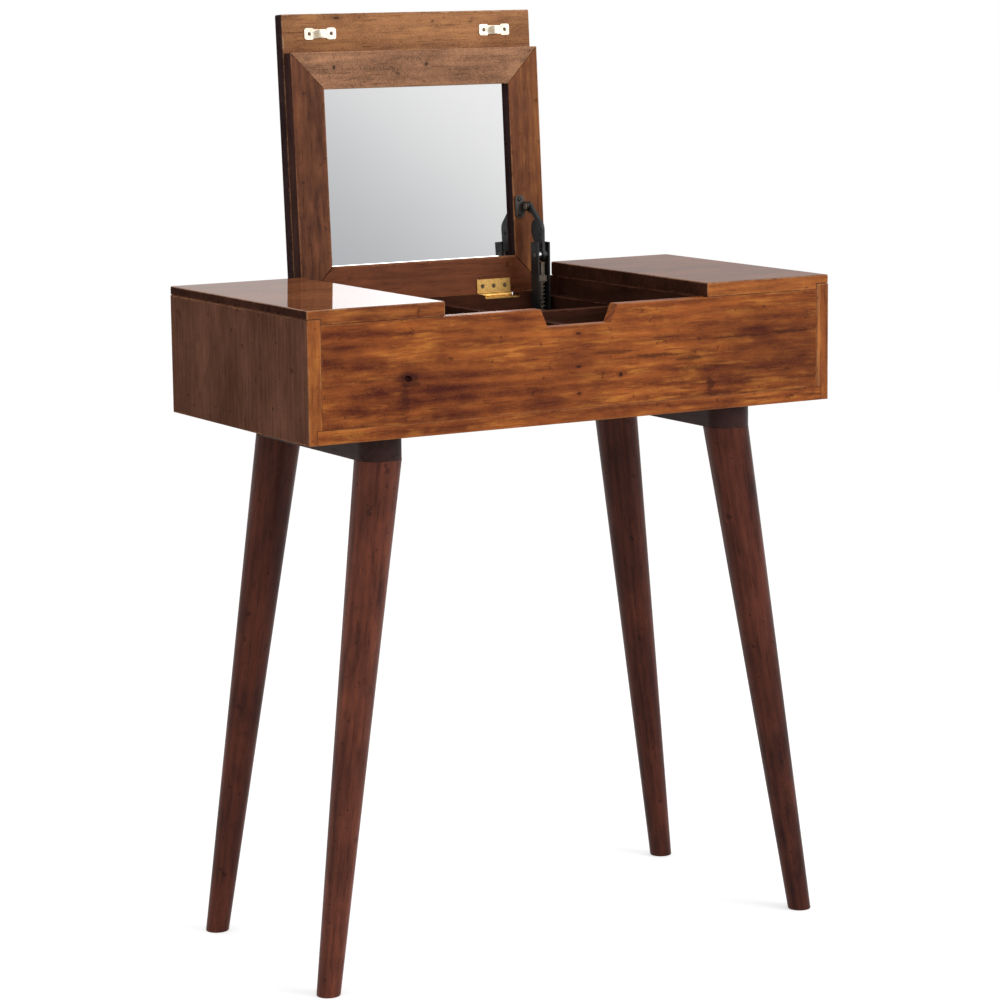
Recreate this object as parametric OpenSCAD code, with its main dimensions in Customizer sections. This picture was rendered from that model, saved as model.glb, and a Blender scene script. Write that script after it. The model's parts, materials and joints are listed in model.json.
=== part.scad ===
// Flip top vanity table: a shallow case on four splayed legs. The middle of its top is a lid that
// carries a framed mirror underneath, hangs on two butt hinges and is steadied by a linked stay.
// Origin: on the floor, at the middle of the width and of the depth that the open table takes up.
// +X runs to the right, +Y to the back and +Z up. The lid is drawn open.

/* [Case] */
// Width of the case
case_w = 700; // [640:5:820]
// Depth of the case
case_d = 352; // [345:1:400]
// Height of the case
case_h = 150; // [146:1:170]
// Thickness of the case boards
board_t = 17; // [15:0.5:19]
// Thickness of the bottom panel
bottom_t = 16; // [12:0.5:20]
// Width of each fixed wing top
wing_w = 174; // [160:1:190]
// Thickness of the wing top where it laps over the side panel
top_lap_t = 10.5; // [8:0.5:12]
// Depth of the groove in the side panel that holds the bottom panel
bottom_lap = 6.5; // [4:0.5:9]
// Easing radius along the edges of the boards
edge_r = 0.8; // [0.4:0.1:1.2]
// Easing radius round the wing tops and the lid
top_edge_r = 1.8; // [1:0.1:2.4]

/* [Finger notch] */
// Width of the notch at its mouth
notch_mouth_w = 103; // [80:1:120]
// Width of the notch at its floor
notch_floor_w = 85; // [60:1:95]
// Depth of the notch
notch_depth = 21; // [15:1:24]

/* [Compartments] */
// Height of the ledges and dividers above the underside of the case
divider_top = 110; // [80:1:111]
// Thickness of the ledges beside the compartments
ledge_t = 15; // [10:0.5:17]
// Thickness of the crossing dividers
divider_t = 9; // [6:0.5:12]

/* [Legs] */
// Height of the case's underside above the floor
case_z = 634.5; // [550:0.5:700]
// Height of the cleats under the case
cleat_h = 29; // [24:1:36]
// Radius of a leg at its top
leg_top_r = 27; // [22:0.5:30]
// Radius of a leg at the floor
leg_foot_r = 13.8; // [11:0.1:18]
// Distance of a leg's top centre from the case's end
leg_top_inset_x = 113; // [90:1:130]
// Distance of a leg's top centre from the case's front or back
leg_top_inset_y = 52; // [40:1:70]
// Distance of a front foot's centre from the case's end
front_foot_inset = 22.4; // [16:0.1:40]
// Distance of a back foot's centre from the case's end
back_foot_inset = 28.4; // [16:0.1:40]
// Distance of a foot's centre from the case's front or back
foot_inset_y = 24.5; // [16:0.5:40]
// Chamfer round the foot
foot_chamfer = 1.4; // [0.5:0.1:3]
// Diameter of the bolt that holds a leg to its cleat
leg_bolt_d = 8; // [6:1:10]
// Length of the bolt inside the leg
leg_bolt_low = 40; // [30:1:60]
// Length of the bolt inside the cleat
leg_bolt_high = 22; // [15:1:23]

/* [Lid] */
// Angle through which the lid opens
open_angle = 93.5; // [91:0.5:96]
// Gap between the lid and each wing top
lid_side_gap = 2; // [1.5:0.5:6]
// Distance of the closed lid's front edge behind the case's front face
lid_front_reveal = 1.5; // [0.5:0.5:4]
// Gap under the closed lid, above the front panel
lid_seat_gap = 0.3; // [0.3:0.1:0.6]
// Thickness of the mirror frame
frame_t = 18; // [14:0.5:19]
// Width of the mirror frame's front and back rails
rail_w = 45; // [38:1:50]
// Width of the mirror frame's side stiles
stile_w = 43.5; // [39.5:0.5:50]
// Bare strip of lid in front of the frame
lid_strip = 46.5; // [44:0.5:55]
// How far the frame stands inside the lid's side edges
frame_inset = 1.5; // [0.5:0.5:4]
// Thickness of the mirror glass
glass_t = 4; // [3:0.5:6]
// How far the glass reaches under the frame
glass_lap = 7; // [5:0.5:10]
// Thickness of the board behind the glass
backing_t = 5.4; // [2:0.2:6]

/* [Hinges] */
// Length of a hinge
hinge_len = 48; // [40:1:60]
// Distance of the left hinge's middle from the opening's left side
left_hinge_inset = 58; // [36:1:96]
// Distance of the right hinge's middle from the opening's right side
right_hinge_inset = 81; // [71:1:96]
// Distance of the hinge pin's centre behind the case
hinge_set_back = 2.4; // [2:0.1:3.4]
// Width of a leaf from the pin's centre
leaf_w = 20; // [18:0.5:22]
// Thickness of a leaf
leaf_t = 1.6; // [1.2:0.1:2]
// Diameter of the barrel
barrel_d = 5.4; // [5:0.1:6.4]
// Diameter of the hinge pin
hinge_pin_d = 2.6; // [2:0.1:3]
// Distance between neighbouring screws of a leaf
hinge_screw_pitch = 16; // [13:0.5:18]

/* [Catches] */
// Distance of each catch's middle from the opening's nearest side
catch_inset = 54; // [51:1:71]
// Distance of the catches from the closed lid's front edge
catch_setback = 24; // [23.5:0.5:25]
// Length of the strike plate
strike_len = 43; // [40:1:50]
// Width of the strike plate's lobes
strike_w = 14; // [12:0.5:14.5]
// Thickness of the strike plate
strike_t = 1.2; // [1:0.1:1.6]
// Width of the strike's prong
prong_w = 10.5; // [8:0.5:11]
// Height of the strike's prong
prong_h = 9; // [8:0.5:10]
// Length of the catch housing
housing_len = 56; // [54:1:60]
// Height of the catch housing
housing_h = 10; // [9.5:0.5:11]
// Width of the catch housing
housing_w = 12; // [10:0.5:14]
// Diameter of a catch ball
ball_d = 6; // [5.5:0.5:6.5]
// Length of the wooden block under a catch housing
block_len = 60; // [60:1:66]
// Height of that block
block_h = 28; // [20:1:40]

/* [Lid stay] */
// Distance of the channel arm's mid-plane from the opening's right side
stay_inset = 31.2; // [30:0.1:33]
// Distance of the link's mid-plane to the right of the channel arm's
link_shift = 1.7; // [0:0.1:2]
// Distance of the lid bracket's pivot from the hinge pin, along the lid
bracket_reach = 108; // [95:1:115]
// Depth of the lid bracket's pivot below the hinge pin when the lid is closed
bracket_drop = 6; // [5.5:0.5:8]
// Width of the channel arm
channel_w = 17.6; // [16.5:0.1:18]
// Depth of the channel arm
channel_depth = 17; // [15:0.5:18]
// Thickness of the channel arm's sheet
channel_t = 2; // [1.5:0.1:2.2]
// Gap between the open channel arm and the back panel
channel_back_gap = 1.5; // [1:0.5:3]
// Height of the knee pin above the hinge pin, lid open
knee_rise = 49.4; // [42.4:0.2:53.4]
// Reach of the channel arm past its knee pin
channel_end = 16; // [12:1:18]
// Thickness of the curved link
link_t = 4; // [3:0.5:5]
// Radius of the link's cam
cam_r = 13.4; // [11:0.1:14]
// Radius of the link's eye at the lid bracket
eye_r = 6; // [5:0.1:6.2]
// Half width of the link's finger
finger_r = 3.3; // [2.8:0.1:4]
// Radius of the link's lug at the knee
lug_r = 8; // [7:0.5:8]
// Diameter of the stay's pivot pins
stay_pin_d = 5; // [4:0.5:6]
// Wire diameter of the stay's spring
stay_wire_d = 1.4; // [1:0.1:1.8]
// Width of the lid bracket's plate
bracket_w = 13; // [12:0.5:13.5]
// Length of the lid bracket's plate
bracket_len = 28; // [27:0.5:34]

/* [Hidden] */
$fn = 48;

// Fits
pin_fit = 0.05;
joint_gap = 0.3;
open_pivot_fit = 0.3;
overshoot = 1;

// Lid, in the closed position, measured in the case frame
lid_t = board_t - lid_seat_gap;
lid_under_z = case_h - lid_t;
opening_half = case_w / 2 - wing_w;
lid_w = 2 * (opening_half - lid_side_gap);
lid_len = case_d - lid_front_reveal;
frame_w = lid_w - 2 * frame_inset;
frame_y = lid_front_reveal + lid_strip;
frame_len = case_d - frame_y;
frame_under_z = lid_under_z - frame_t;
glass_size = [frame_w - 2 * (stile_w - glass_lap), frame_len - 2 * (rail_w - glass_lap)];

// Hinge
barrel_r = barrel_d / 2;
pin_r = hinge_pin_d / 2;
axis_y = case_d + hinge_set_back;
axis_z = frame_under_z - barrel_r;
knuckles = 5;
knuckle_len = hinge_len / knuckles;
leaf_screw_y = -(barrel_r + leaf_w) / 2;
hinge_xs = [left_hinge_inset - opening_half, opening_half - right_hinge_inset];
recess_gap = 1;

// Screws: head diameter, shank diameter, head height and length, countersunk throughout
small_screw = [5.6, 2.8, 1.4, 12];
tiny_screw = [4.6, 2.4, 1.1, 8];
cleat_screw = [9, 4.6, 3, 40];
round_screw_d = 3;
round_screw_len = 9;
round_head = [6.6, 5, 2.2];
recess_w = 1.2;
recess_len = 3.6;
recess_depth = 1.2;
screw_slot_w = 0.7;
screw_slot_depth = 0.6;
cleat_screw_pitch = 80;

// Case
back_top = frame_under_z - joint_gap;
recess_floor = axis_z - barrel_r;
side_h = case_h - top_lap_t;
under_top_z = case_h - board_t;
inner_half = case_w / 2 - board_t;
inner_d = case_d - 2 * board_t;
bottom_half = inner_half + bottom_lap;
ledge_face = opening_half - ledge_t;
divider_h = divider_top - bottom_t;
lap_gap = 0.1;

// Origin: the open lid leans behind the case and sets the depth that the table takes up
lid_top_h = case_h - axis_z;
lid_reach = axis_y - lid_front_reveal;
open_back_y = axis_y + turn([-lid_reach, lid_top_h], -open_angle)[0];
front_y = -open_back_y / 2;

// Legs
leg_h = case_z - cleat_h;
leg_spare = 12;
cleat_x = case_w / 2 - leg_top_inset_x;

// Catches
catch_offset = opening_half - catch_inset;
strike_y = lid_front_reveal + catch_setback;
strike_lobe = 13;
strike_lobe_r = 3;
strike_lobe_x = (strike_len - strike_lobe) / 2;
strike_waist_w = 10.5;
prong_bevel = 1.2;
prong_neck_w = prong_w - 2 * prong_bevel;
prong_depth = 9;
housing_gap = 1.6;
housing_top = lid_under_z - strike_t - housing_gap;
housing_z = housing_top - housing_h;
slot_play = 1.6;
slot_w = prong_w + 2 * slot_play;
lip_t = 0.5;
lip_share = 0.87;
lip_r = lip_share * ball_d / 2;
ball_stick_out = ball_d / 2 - sqrt(pow(ball_d / 2, 2) - pow(lip_r, 2));
ball_seat_gap = 0.1;
ball_x = slot_w / 2 + lip_t + ball_d / 2 - ball_stick_out + ball_seat_gap;
ball_travel = 1.2;
plug_t = 4;
catch_wire_d = 0.7;
catch_spring_r = 2.2;
catch_spring_turns = 3;
housing_wing_t = 1.6;
housing_body_len = 42;
block_y = board_t;
block_w = 2 * (strike_y - board_t);

// Stay, in (Y, Z) of the case frame, lid open
axis = [axis_y, axis_z];
lid_pivot = axis + turn([-bracket_reach, -bracket_drop], -open_angle);
knee = [case_d - board_t - channel_back_gap - channel_depth / 2,
    axis_z + knee_rise];
base_pivot = knee - (lid_pivot - axis);
arm_len = norm(knee - base_pivot);
arm_tilt = -asin((knee[0] - base_pivot[0]) / arm_len);
stay_pin_r = stay_pin_d / 2;
rivet_r = 4;
rivet_t = 1.5;
bush_r = 5;
stay_x = opening_half - stay_inset;
link_x = stay_x + link_shift;
cam = knee + [8.8, 31];
cam_rivet = knee + [2.5, 26.5];
cam_rivet_r = 2.6;
cam_rivet_h = 0.8;
shoulder = knee + [4.8, 17];
shoulder_r = 9.5;
neck_half = 6.5;
finger_elbow = lid_pivot + [-11, -6.3];
finger_root = lid_pivot + [-26.6, -19.3];
ear_t = 2;
ear_r = 5.5;
ear_x = link_x - link_t / 2 - joint_gap - ear_t;
bracket_t = 1.8;
bracket_end_flat = 2;
bracket_screw_pitch = 19;
base_plate = [2, 30, 56];
base_plate_low = 16;
base_plate_back = 2;
base_plate_y = case_d - board_t - base_plate_back - base_plate[1];
base_plate_z = base_pivot[1] - base_plate_low;
base_boss_r = 7;
base_corner_r = 4;
base_screw_inset = 7;
web_cut = 16;
seat_z = 18;
seat_t = 2;
nose_len = 16;
nose_half = 2.5;
nose_spare = 0.5;
nose_w = link_t + 2 * nose_spare;
nose_gap = 1.2;
nose_tip = arm_len - lug_r - nose_gap;
plunger_len = 8;
plunger_w = 12.4;
plunger_depth = 10;
guide_r = 3;
stay_spring_r = 4.6;
stay_spring_turns = 11;
coil_sides = 6;
coil_steps = 12;

// Colours
front_wood = [0.47, 0.23, 0.10];
side_wood = [0.28, 0.13, 0.07];
leg_wood = [0.27, 0.10, 0.06];
inner_wood = [0.25, 0.11, 0.06];
lid_wood = [0.42, 0.23, 0.12];
mirror_grey = [0.82, 0.83, 0.85];
brass = [0.80, 0.66, 0.36];
dark_steel = [0.10, 0.10, 0.11];
zinc = [0.70, 0.71, 0.72];

// The point p, turned by angle a about the X axis, as (Y, Z)
function turn(p, a) = [p[0] * cos(a) - p[1] * sin(a), p[0] * sin(a) + p[1] * cos(a)];

// Puts the case frame, whose zero is the case's lower front edge, on its legs
module case_frame() {
    translate([0, front_y, case_z]) children();
}

// Opens what is drawn on the closed lid
module on_lid() {
    case_frame() translate([0, axis_y, axis_z]) rotate([-open_angle, 0, 0])
        translate([0, -axis_y, -axis_z]) children();
}

// The left one is drawn, and the right one is its mirror image
module right_hand() {
    mirror([1, 0, 0]) children();
}

// A rectangle with rounded corners
module soft_rect(w, d, r) {
    translate([r, 0]) square([w - 2 * r, d]);
    translate([0, r]) square([w, d - 2 * r]);
    for (x = [r, w - r], y = [r, d - r]) translate([x, y]) circle(r);
}

// A board with every edge eased
module board(corner, size, r = edge_r) {
    translate(corner) intersection() {
        linear_extrude(size[2]) soft_rect(size[0], size[1], r);
        translate([0, size[1], 0]) rotate([90, 0, 0])
            linear_extrude(size[1]) soft_rect(size[0], size[2], r);
        rotate([90, 0, 90]) linear_extrude(size[0]) soft_rect(size[1], size[2], r);
    }
}

// A countersunk screw with its head flush at the origin and its shank downwards
module screw(s) {
    difference() {
        union() {
            translate([0, 0, -s[2]]) cylinder(h = s[2], d1 = s[1], d2 = s[0]);
            translate([0, 0, -s[3]]) cylinder(h = s[3] - s[2], d = s[1]);
        }
        translate([-s[0] / 2, -screw_slot_w / 2, -screw_slot_depth])
            cube([s[0], screw_slot_w, screw_slot_depth + overshoot]);
    }
}

// The hole for that screw, a little wider all round
module screw_hole(s) {
    d1 = s[1] + 2 * pin_fit;
    d2 = s[0] + 2 * pin_fit;
    translate([0, 0, -s[2]]) cylinder(h = s[2], d1 = d1, d2 = d2);
    cylinder(h = overshoot, d = d2);
    translate([0, 0, -s[3] - pin_fit]) cylinder(h = s[3] - s[2] + 2 * pin_fit, d = d1);
}

// A round-headed screw that stands on the origin, with its shank downwards and a cross recess
module round_screw() {
    difference() {
        union() {
            cylinder(h = round_head[2], d1 = round_head[0], d2 = round_head[1]);
            translate([0, 0, -round_screw_len]) cylinder(h = round_screw_len, d = round_screw_d);
        }
        for (a = [45, 135]) rotate([0, 0, a])
            translate([-recess_len / 2, -recess_w / 2, round_head[2] - recess_depth])
                cube([recess_len, recess_w, recess_depth + overshoot]);
    }
}

// The hole for that screw
module round_screw_hole() {
    translate([0, 0, -round_screw_len - pin_fit])
        cylinder(h = round_screw_len + overshoot, d = round_screw_d + 2 * pin_fit);
}

// A coil spring that stands on the origin, with round wire, as one closed mesh
module coil(r, wire_d, turns, len) {
    rise = (len - wire_d) / (turns * coil_steps);
    rings = turns * coil_steps;
    ring = function(i) [for (k = [0 : coil_sides - 1])
        let (a = 360 * i / coil_steps, b = 360 * k / coil_sides, q = r + wire_d / 2 * cos(b))
        [q * cos(a), q * sin(a), wire_d / 2 + i * rise + wire_d / 2 * sin(b)]];
    points = [for (i = [0 : rings]) each ring(i)];
    skin = [for (i = [0 : rings - 1], k = [0 : coil_sides - 1])
        let (a = i * coil_sides + k, b = i * coil_sides + (k + 1) % coil_sides)
        [a, a + coil_sides, b + coil_sides, b]];
    first = [for (k = [0 : coil_sides - 1]) k];
    last = [for (k = [coil_sides - 1 : -1 : 0]) rings * coil_sides + k];
    polyhedron(points, concat(skin, [first, last]));
}

// ---- Case ----

module side_panel() {
    color(side_wood) case_frame() difference() {
        board([-case_w / 2, 0, 0], [board_t, case_d, side_h]);
        translate([-bottom_half, -overshoot, -overshoot])
            cube([board_t, case_d + 2 * overshoot, bottom_t + overshoot]);
    }
}

module left_side_panel() {
    side_panel();
}

module right_side_panel() {
    right_hand() side_panel();
}

module front_panel() {
    color(front_wood) case_frame() difference() {
        board([-inner_half, 0, bottom_t], [2 * inner_half, board_t, under_top_z - bottom_t]);
        translate([0, board_t + overshoot, under_top_z]) rotate([90, 0, 0])
            linear_extrude(board_t + 2 * overshoot) notch_outline();
    }
}

// The finger notch, carried on above the panel's edge with the same slope
module notch_outline() {
    slope = (notch_mouth_w - notch_floor_w) / 2 / notch_depth;
    top_half = notch_mouth_w / 2 + slope * overshoot;
    polygon([[-notch_floor_w / 2, -notch_depth], [notch_floor_w / 2, -notch_depth],
        [top_half, overshoot], [-top_half, overshoot]]);
}

// Cut down under the lid, with a recess for each hinge
module back_panel() {
    color(side_wood) case_frame() difference() {
        board([-inner_half, case_d - board_t, bottom_t],
            [2 * inner_half, board_t, under_top_z - bottom_t]);
        translate([-opening_half, case_d - board_t - overshoot, back_top])
            cube([2 * opening_half, board_t + 2 * overshoot, case_h]);
        for (x = hinge_xs) translate([x, 0, 0]) {
            translate([-hinge_len / 2 - recess_gap, case_d - board_t - overshoot, recess_floor])
                cube([hinge_len + 2 * recess_gap, board_t + 2 * overshoot, barrel_d]);
            hinge_screw_places() screw_hole(small_screw);
        }
    }
}

module bottom_panel() {
    color(side_wood) case_frame() difference() {
        board([-bottom_half, 0, 0], [2 * bottom_half, case_d, bottom_t]);
        cleat_screw_places() screw_hole(cleat_screw);
    }
}

module wing_top() {
    color(front_wood) case_frame() difference() {
        board([-case_w / 2, 0, under_top_z], [wing_w, case_d, board_t], top_edge_r);
        translate([-case_w / 2 - overshoot, -overshoot, under_top_z - overshoot])
            cube([board_t + overshoot, case_d + 2 * overshoot, board_t - top_lap_t + overshoot]);
    }
}

module left_wing_top() {
    wing_top();
}

module right_wing_top() {
    right_hand() wing_top();
}

module partition() {
    color(inner_wood) case_frame() board([-opening_half - board_t, board_t, bottom_t],
        [board_t, inner_d, under_top_z - bottom_t]);
}

module left_partition() {
    partition();
}

module right_partition() {
    right_hand() partition();
}

module left_ledge() {
    color(inner_wood) case_frame()
        board([-opening_half, board_t, bottom_t], [ledge_t, inner_d, divider_h]);
}

module right_ledge() {
    color(inner_wood) case_frame() difference() {
        board([ledge_face, board_t, bottom_t], [ledge_t, inner_d, divider_h]);
        base_screw_places() screw_hole(small_screw);
    }
}

// The dividers cross at a half lap: this one is slotted from above and the other from below
module centre_divider() {
    color(inner_wood) case_frame() difference() {
        board([-divider_t / 2, board_t, bottom_t], [divider_t, inner_d, divider_h]);
        translate([-divider_t, case_d / 2 - divider_t / 2 - lap_gap, bottom_t + divider_h / 2])
            cube([2 * divider_t, divider_t + 2 * lap_gap, divider_h]);
    }
}

module cross_divider() {
    color(inner_wood) case_frame() difference() {
        board([-ledge_face, case_d / 2 - divider_t / 2, bottom_t],
            [2 * ledge_face, divider_t, divider_h]);
        translate([-divider_t / 2 - lap_gap, case_d / 2 - divider_t, bottom_t - divider_h / 2])
            cube([divider_t + 2 * lap_gap, 2 * divider_t, divider_h]);
    }
}

// ---- Legs and cleats ----

// The distance of a foot's centre from the case's end
function foot_inset_x(front) = front ? front_foot_inset : back_foot_inset;

// How far a foot stands outside its leg's top, as [X, Y]
function leg_run(front) = [leg_top_inset_x - foot_inset_x(front), leg_top_inset_y - foot_inset_y];

// The middle of a leg's top, with +Z along the leg
module at_leg_top(left, front) {
    run = leg_run(front);
    mirror([left ? 0 : 1, 0, 0])
        translate([-cleat_x, front ? leg_top_inset_y : case_d - leg_top_inset_y, -cleat_h])
        mirror([0, front ? 0 : 1, 0]) rotate([0, 0, atan2(run[1], run[0])])
        rotate([0, atan(norm(run) / leg_h), 0]) children();
}

module cleat() {
    color(leg_wood) case_frame() difference() {
        translate([-cleat_x, 0, -cleat_h]) {
            translate([-leg_top_r, leg_top_inset_y, 0])
                cube([2 * leg_top_r, case_d - 2 * leg_top_inset_y, cleat_h]);
            for (y = [leg_top_inset_y, case_d - leg_top_inset_y])
                translate([0, y, 0]) cylinder(h = cleat_h, r = leg_top_r);
        }
        for (front = [true, false]) at_leg_top(true, front) bolt_hole();
        cleat_screw_places() screw_hole(cleat_screw);
    }
}

module left_cleat() {
    cleat();
}

module right_cleat() {
    right_hand() cleat();
}

module cleat_screw_places() {
    for (x = [-cleat_x, cleat_x], i = [-1 : 1])
        translate([x, case_d / 2 + i * cleat_screw_pitch, -cleat_h]) rotate([180, 0, 0]) children();
}

module cleat_screws() {
    color(zinc) case_frame() cleat_screw_places() screw(cleat_screw);
}

module bolt_hole() {
    translate([0, 0, -leg_bolt_low - pin_fit])
        cylinder(h = leg_bolt_low + leg_bolt_high + 2 * pin_fit, r = leg_bolt_d / 2 + pin_fit);
}

// A leg: a long cone, cut level at the cleat and at the floor, with a chamfered foot
module leg(left, front) {
    foot_x = (left ? -1 : 1) * (case_w / 2 - foot_inset_x(front));
    foot_y = front ? foot_inset_y : case_d - foot_inset_y;
    len = norm([norm(leg_run(front)), leg_h]);
    slope = (leg_top_r - leg_foot_r) / len;
    color(leg_wood) case_frame() difference() {
        intersection() {
            at_leg_top(left, front) translate([0, 0, -len - leg_spare])
                cylinder(h = len + 2 * leg_spare, r1 = leg_foot_r - leg_spare * slope,
                    r2 = leg_top_r + leg_spare * slope);
            union() {
                translate([-case_w, -case_d, foot_chamfer - case_z])
                    cube([2 * case_w, 3 * case_d, leg_h - foot_chamfer]);
                translate([foot_x, foot_y, -case_z]) cylinder(h = foot_chamfer,
                    r1 = leg_foot_r - foot_chamfer, r2 = leg_foot_r);
            }
        }
        at_leg_top(left, front) bolt_hole();
    }
}

module front_left_leg() {
    leg(true, true);
}

module front_right_leg() {
    leg(false, true);
}

module back_left_leg() {
    leg(true, false);
}

module back_right_leg() {
    leg(false, false);
}

module leg_bolts() {
    color(zinc) case_frame() for (left = [true, false], front = [true, false])
        at_leg_top(left, front) translate([0, 0, -leg_bolt_low])
            cylinder(h = leg_bolt_low + leg_bolt_high, d = leg_bolt_d);
}

// ---- Lid and mirror ----

module lid_panel() {
    color(lid_wood) on_lid() difference() {
        board([-lid_w / 2, lid_front_reveal, lid_under_z], [lid_w, lid_len, lid_t], top_edge_r);
        strike_screw_places() screw_hole(tiny_screw);
    }
}

// One member of the frame with its outer edge on the X axis: w wide, mitred against members that
// are end_w wide, and rebated for the glass and its backing
module frame_member(len, w, end_w) {
    difference() {
        linear_extrude(frame_t)
            polygon([[-len / 2, 0], [len / 2, 0], [len / 2 - end_w, w], [end_w - len / 2, w]]);
        translate([-len, w - glass_lap - lap_gap, frame_t - backing_t - glass_t])
            cube([2 * len, w, frame_t]);
    }
}

module frame_front_rail() {
    color(lid_wood) on_lid() translate([0, frame_y, frame_under_z])
        frame_member(frame_w, rail_w, stile_w);
}

module frame_back_rail() {
    color(lid_wood) on_lid() difference() {
        translate([0, case_d, frame_under_z]) rotate([0, 0, 180])
            frame_member(frame_w, rail_w, stile_w);
        for (x = hinge_xs) translate([x, 0, 0])
            mirrored_in_axis() hinge_screw_places() screw_hole(small_screw);
    }
}

module frame_left_stile() {
    color(lid_wood) on_lid() translate([-frame_w / 2, frame_y + frame_len / 2, frame_under_z])
        rotate([0, 0, -90]) frame_member(frame_len, stile_w, rail_w);
}

module frame_right_stile() {
    color(lid_wood) on_lid() difference() {
        translate([frame_w / 2, frame_y + frame_len / 2, frame_under_z])
            rotate([0, 0, 90]) frame_member(frame_len, stile_w, rail_w);
        bracket_screw_places() round_screw_hole();
    }
}

// A plate in the frame's rebate, from height z of the closed lid upwards
module rebate_plate(z, t) {
    translate([-glass_size[0] / 2, frame_y + rail_w - glass_lap, z])
        cube([glass_size[0], glass_size[1], t]);
}

module mirror_glass() {
    color(mirror_grey) on_lid() rebate_plate(lid_under_z - backing_t - glass_t, glass_t);
}

module mirror_backing() {
    color(inner_wood) on_lid() rebate_plate(lid_under_z - backing_t, backing_t);
}

// ---- Hinges ----

// Turns what is drawn on the case side of the hinge over to the lid side, about the pin's level
module mirrored_in_axis() {
    translate([0, 0, axis_z]) mirror([0, 0, 1]) translate([0, 0, -axis_z]) children();
}

// The three screws of a case leaf, with their heads flush with the leaf
module hinge_screw_places() {
    for (i = [-1 : 1])
        translate([i * hinge_screw_pitch, axis_y + leaf_screw_y, axis_z - barrel_r + leaf_t])
            children();
}

// A leaf with the knuckles of one parity, on the case side of the pin
module leaf(parity) {
    difference() {
        translate([0, axis_y, axis_z]) {
            translate([-hinge_len / 2, -leaf_w, -barrel_r])
                cube([hinge_len, leaf_w - barrel_r - joint_gap, leaf_t]);
            for (i = [0 : knuckles - 1])
                if (i % 2 == parity) translate([i * knuckle_len - hinge_len / 2 + joint_gap / 2, 0, 0])
                    knuckle();
        }
        translate([-hinge_len, axis_y, axis_z]) rotate([0, 90, 0])
            cylinder(h = 2 * hinge_len, r = pin_r + pin_fit);
        hinge_screw_places() screw_hole(small_screw);
    }
}

module knuckle() {
    len = knuckle_len - joint_gap;
    rotate([0, 90, 0]) cylinder(h = len, r = barrel_r);
    translate([0, -barrel_r - 2 * joint_gap, -barrel_r])
        cube([len, barrel_r + 2 * joint_gap, leaf_t]);
}

module left_hinge_case_leaf() {
    color(brass) case_frame() translate([hinge_xs[0], 0, 0]) leaf(0);
}

module right_hinge_case_leaf() {
    color(brass) case_frame() translate([hinge_xs[1], 0, 0]) leaf(0);
}

module left_hinge_lid_leaf() {
    color(brass) on_lid() translate([hinge_xs[0], 0, 0]) mirrored_in_axis() leaf(1);
}

module right_hinge_lid_leaf() {
    color(brass) on_lid() translate([hinge_xs[1], 0, 0]) mirrored_in_axis() leaf(1);
}

module hinge_pins() {
    color(brass) case_frame() for (x = hinge_xs)
        translate([x - hinge_len / 2, axis_y, axis_z])
            rotate([0, 90, 0]) cylinder(h = hinge_len, r = pin_r);
}

module case_hinge_screws() {
    color(brass) case_frame() for (x = hinge_xs) translate([x, 0, 0])
        hinge_screw_places() screw(small_screw);
}

module lid_hinge_screws() {
    color(brass) on_lid() for (x = hinge_xs) translate([x, 0, 0])
        mirrored_in_axis() hinge_screw_places() screw(small_screw);
}

// ---- Catches ----

// A lobed plate with a bulb-headed prong that snaps between the two balls
module strike(side) {
    translate([side * catch_offset, strike_y, lid_under_z]) {
        difference() {
            translate([0, 0, -strike_t]) {
                for (x = [-strike_len / 2, strike_len / 2 - strike_lobe])
                    translate([x, -strike_w / 2, 0]) linear_extrude(strike_t)
                        soft_rect(strike_lobe, strike_w, strike_lobe_r);
                translate([-strike_lobe_x, -strike_waist_w / 2, 0])
                    cube([2 * strike_lobe_x, strike_waist_w, strike_t]);
            }
            for (x = [-strike_lobe_x, strike_lobe_x]) translate([x, 0, -strike_t])
                rotate([180, 0, 0]) screw_hole(tiny_screw);
        }
        translate([0, prong_depth / 2, -strike_t]) rotate([90, 0, 0])
            linear_extrude(prong_depth) prong_outline();
    }
}

// The prong from the side: a neck below the plate and a bevelled head
module prong_outline() {
    neck = prong_h - 2 * prong_bevel - prong_neck_w / 2;
    side = [[0, 0], [0, -neck], [prong_bevel, -neck - prong_bevel],
        [prong_bevel, prong_bevel - prong_h], [0, -prong_h]];
    polygon(concat([for (p = side) [-prong_neck_w / 2 - p[0], p[1]]],
        [for (i = [len(side) - 1 : -1 : 0]) [prong_neck_w / 2 + side[i][0], side[i][1]]]));
}

module strike_screw_places() {
    for (side = [-1, 1], x = [-strike_lobe_x, strike_lobe_x])
        translate([side * catch_offset + x, strike_y, lid_under_z - strike_t])
            rotate([180, 0, 0]) children();
}

module left_catch_strike() {
    color(brass) on_lid() strike(-1);
}

module right_catch_strike() {
    color(brass) on_lid() strike(1);
}

module strike_screws() {
    color(brass) on_lid() strike_screw_places() screw(tiny_screw);
}

// The middle of a catch housing's bore
module at_catch(side) {
    translate([side * catch_offset, strike_y, housing_z + housing_h / 2]) children();
}

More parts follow.
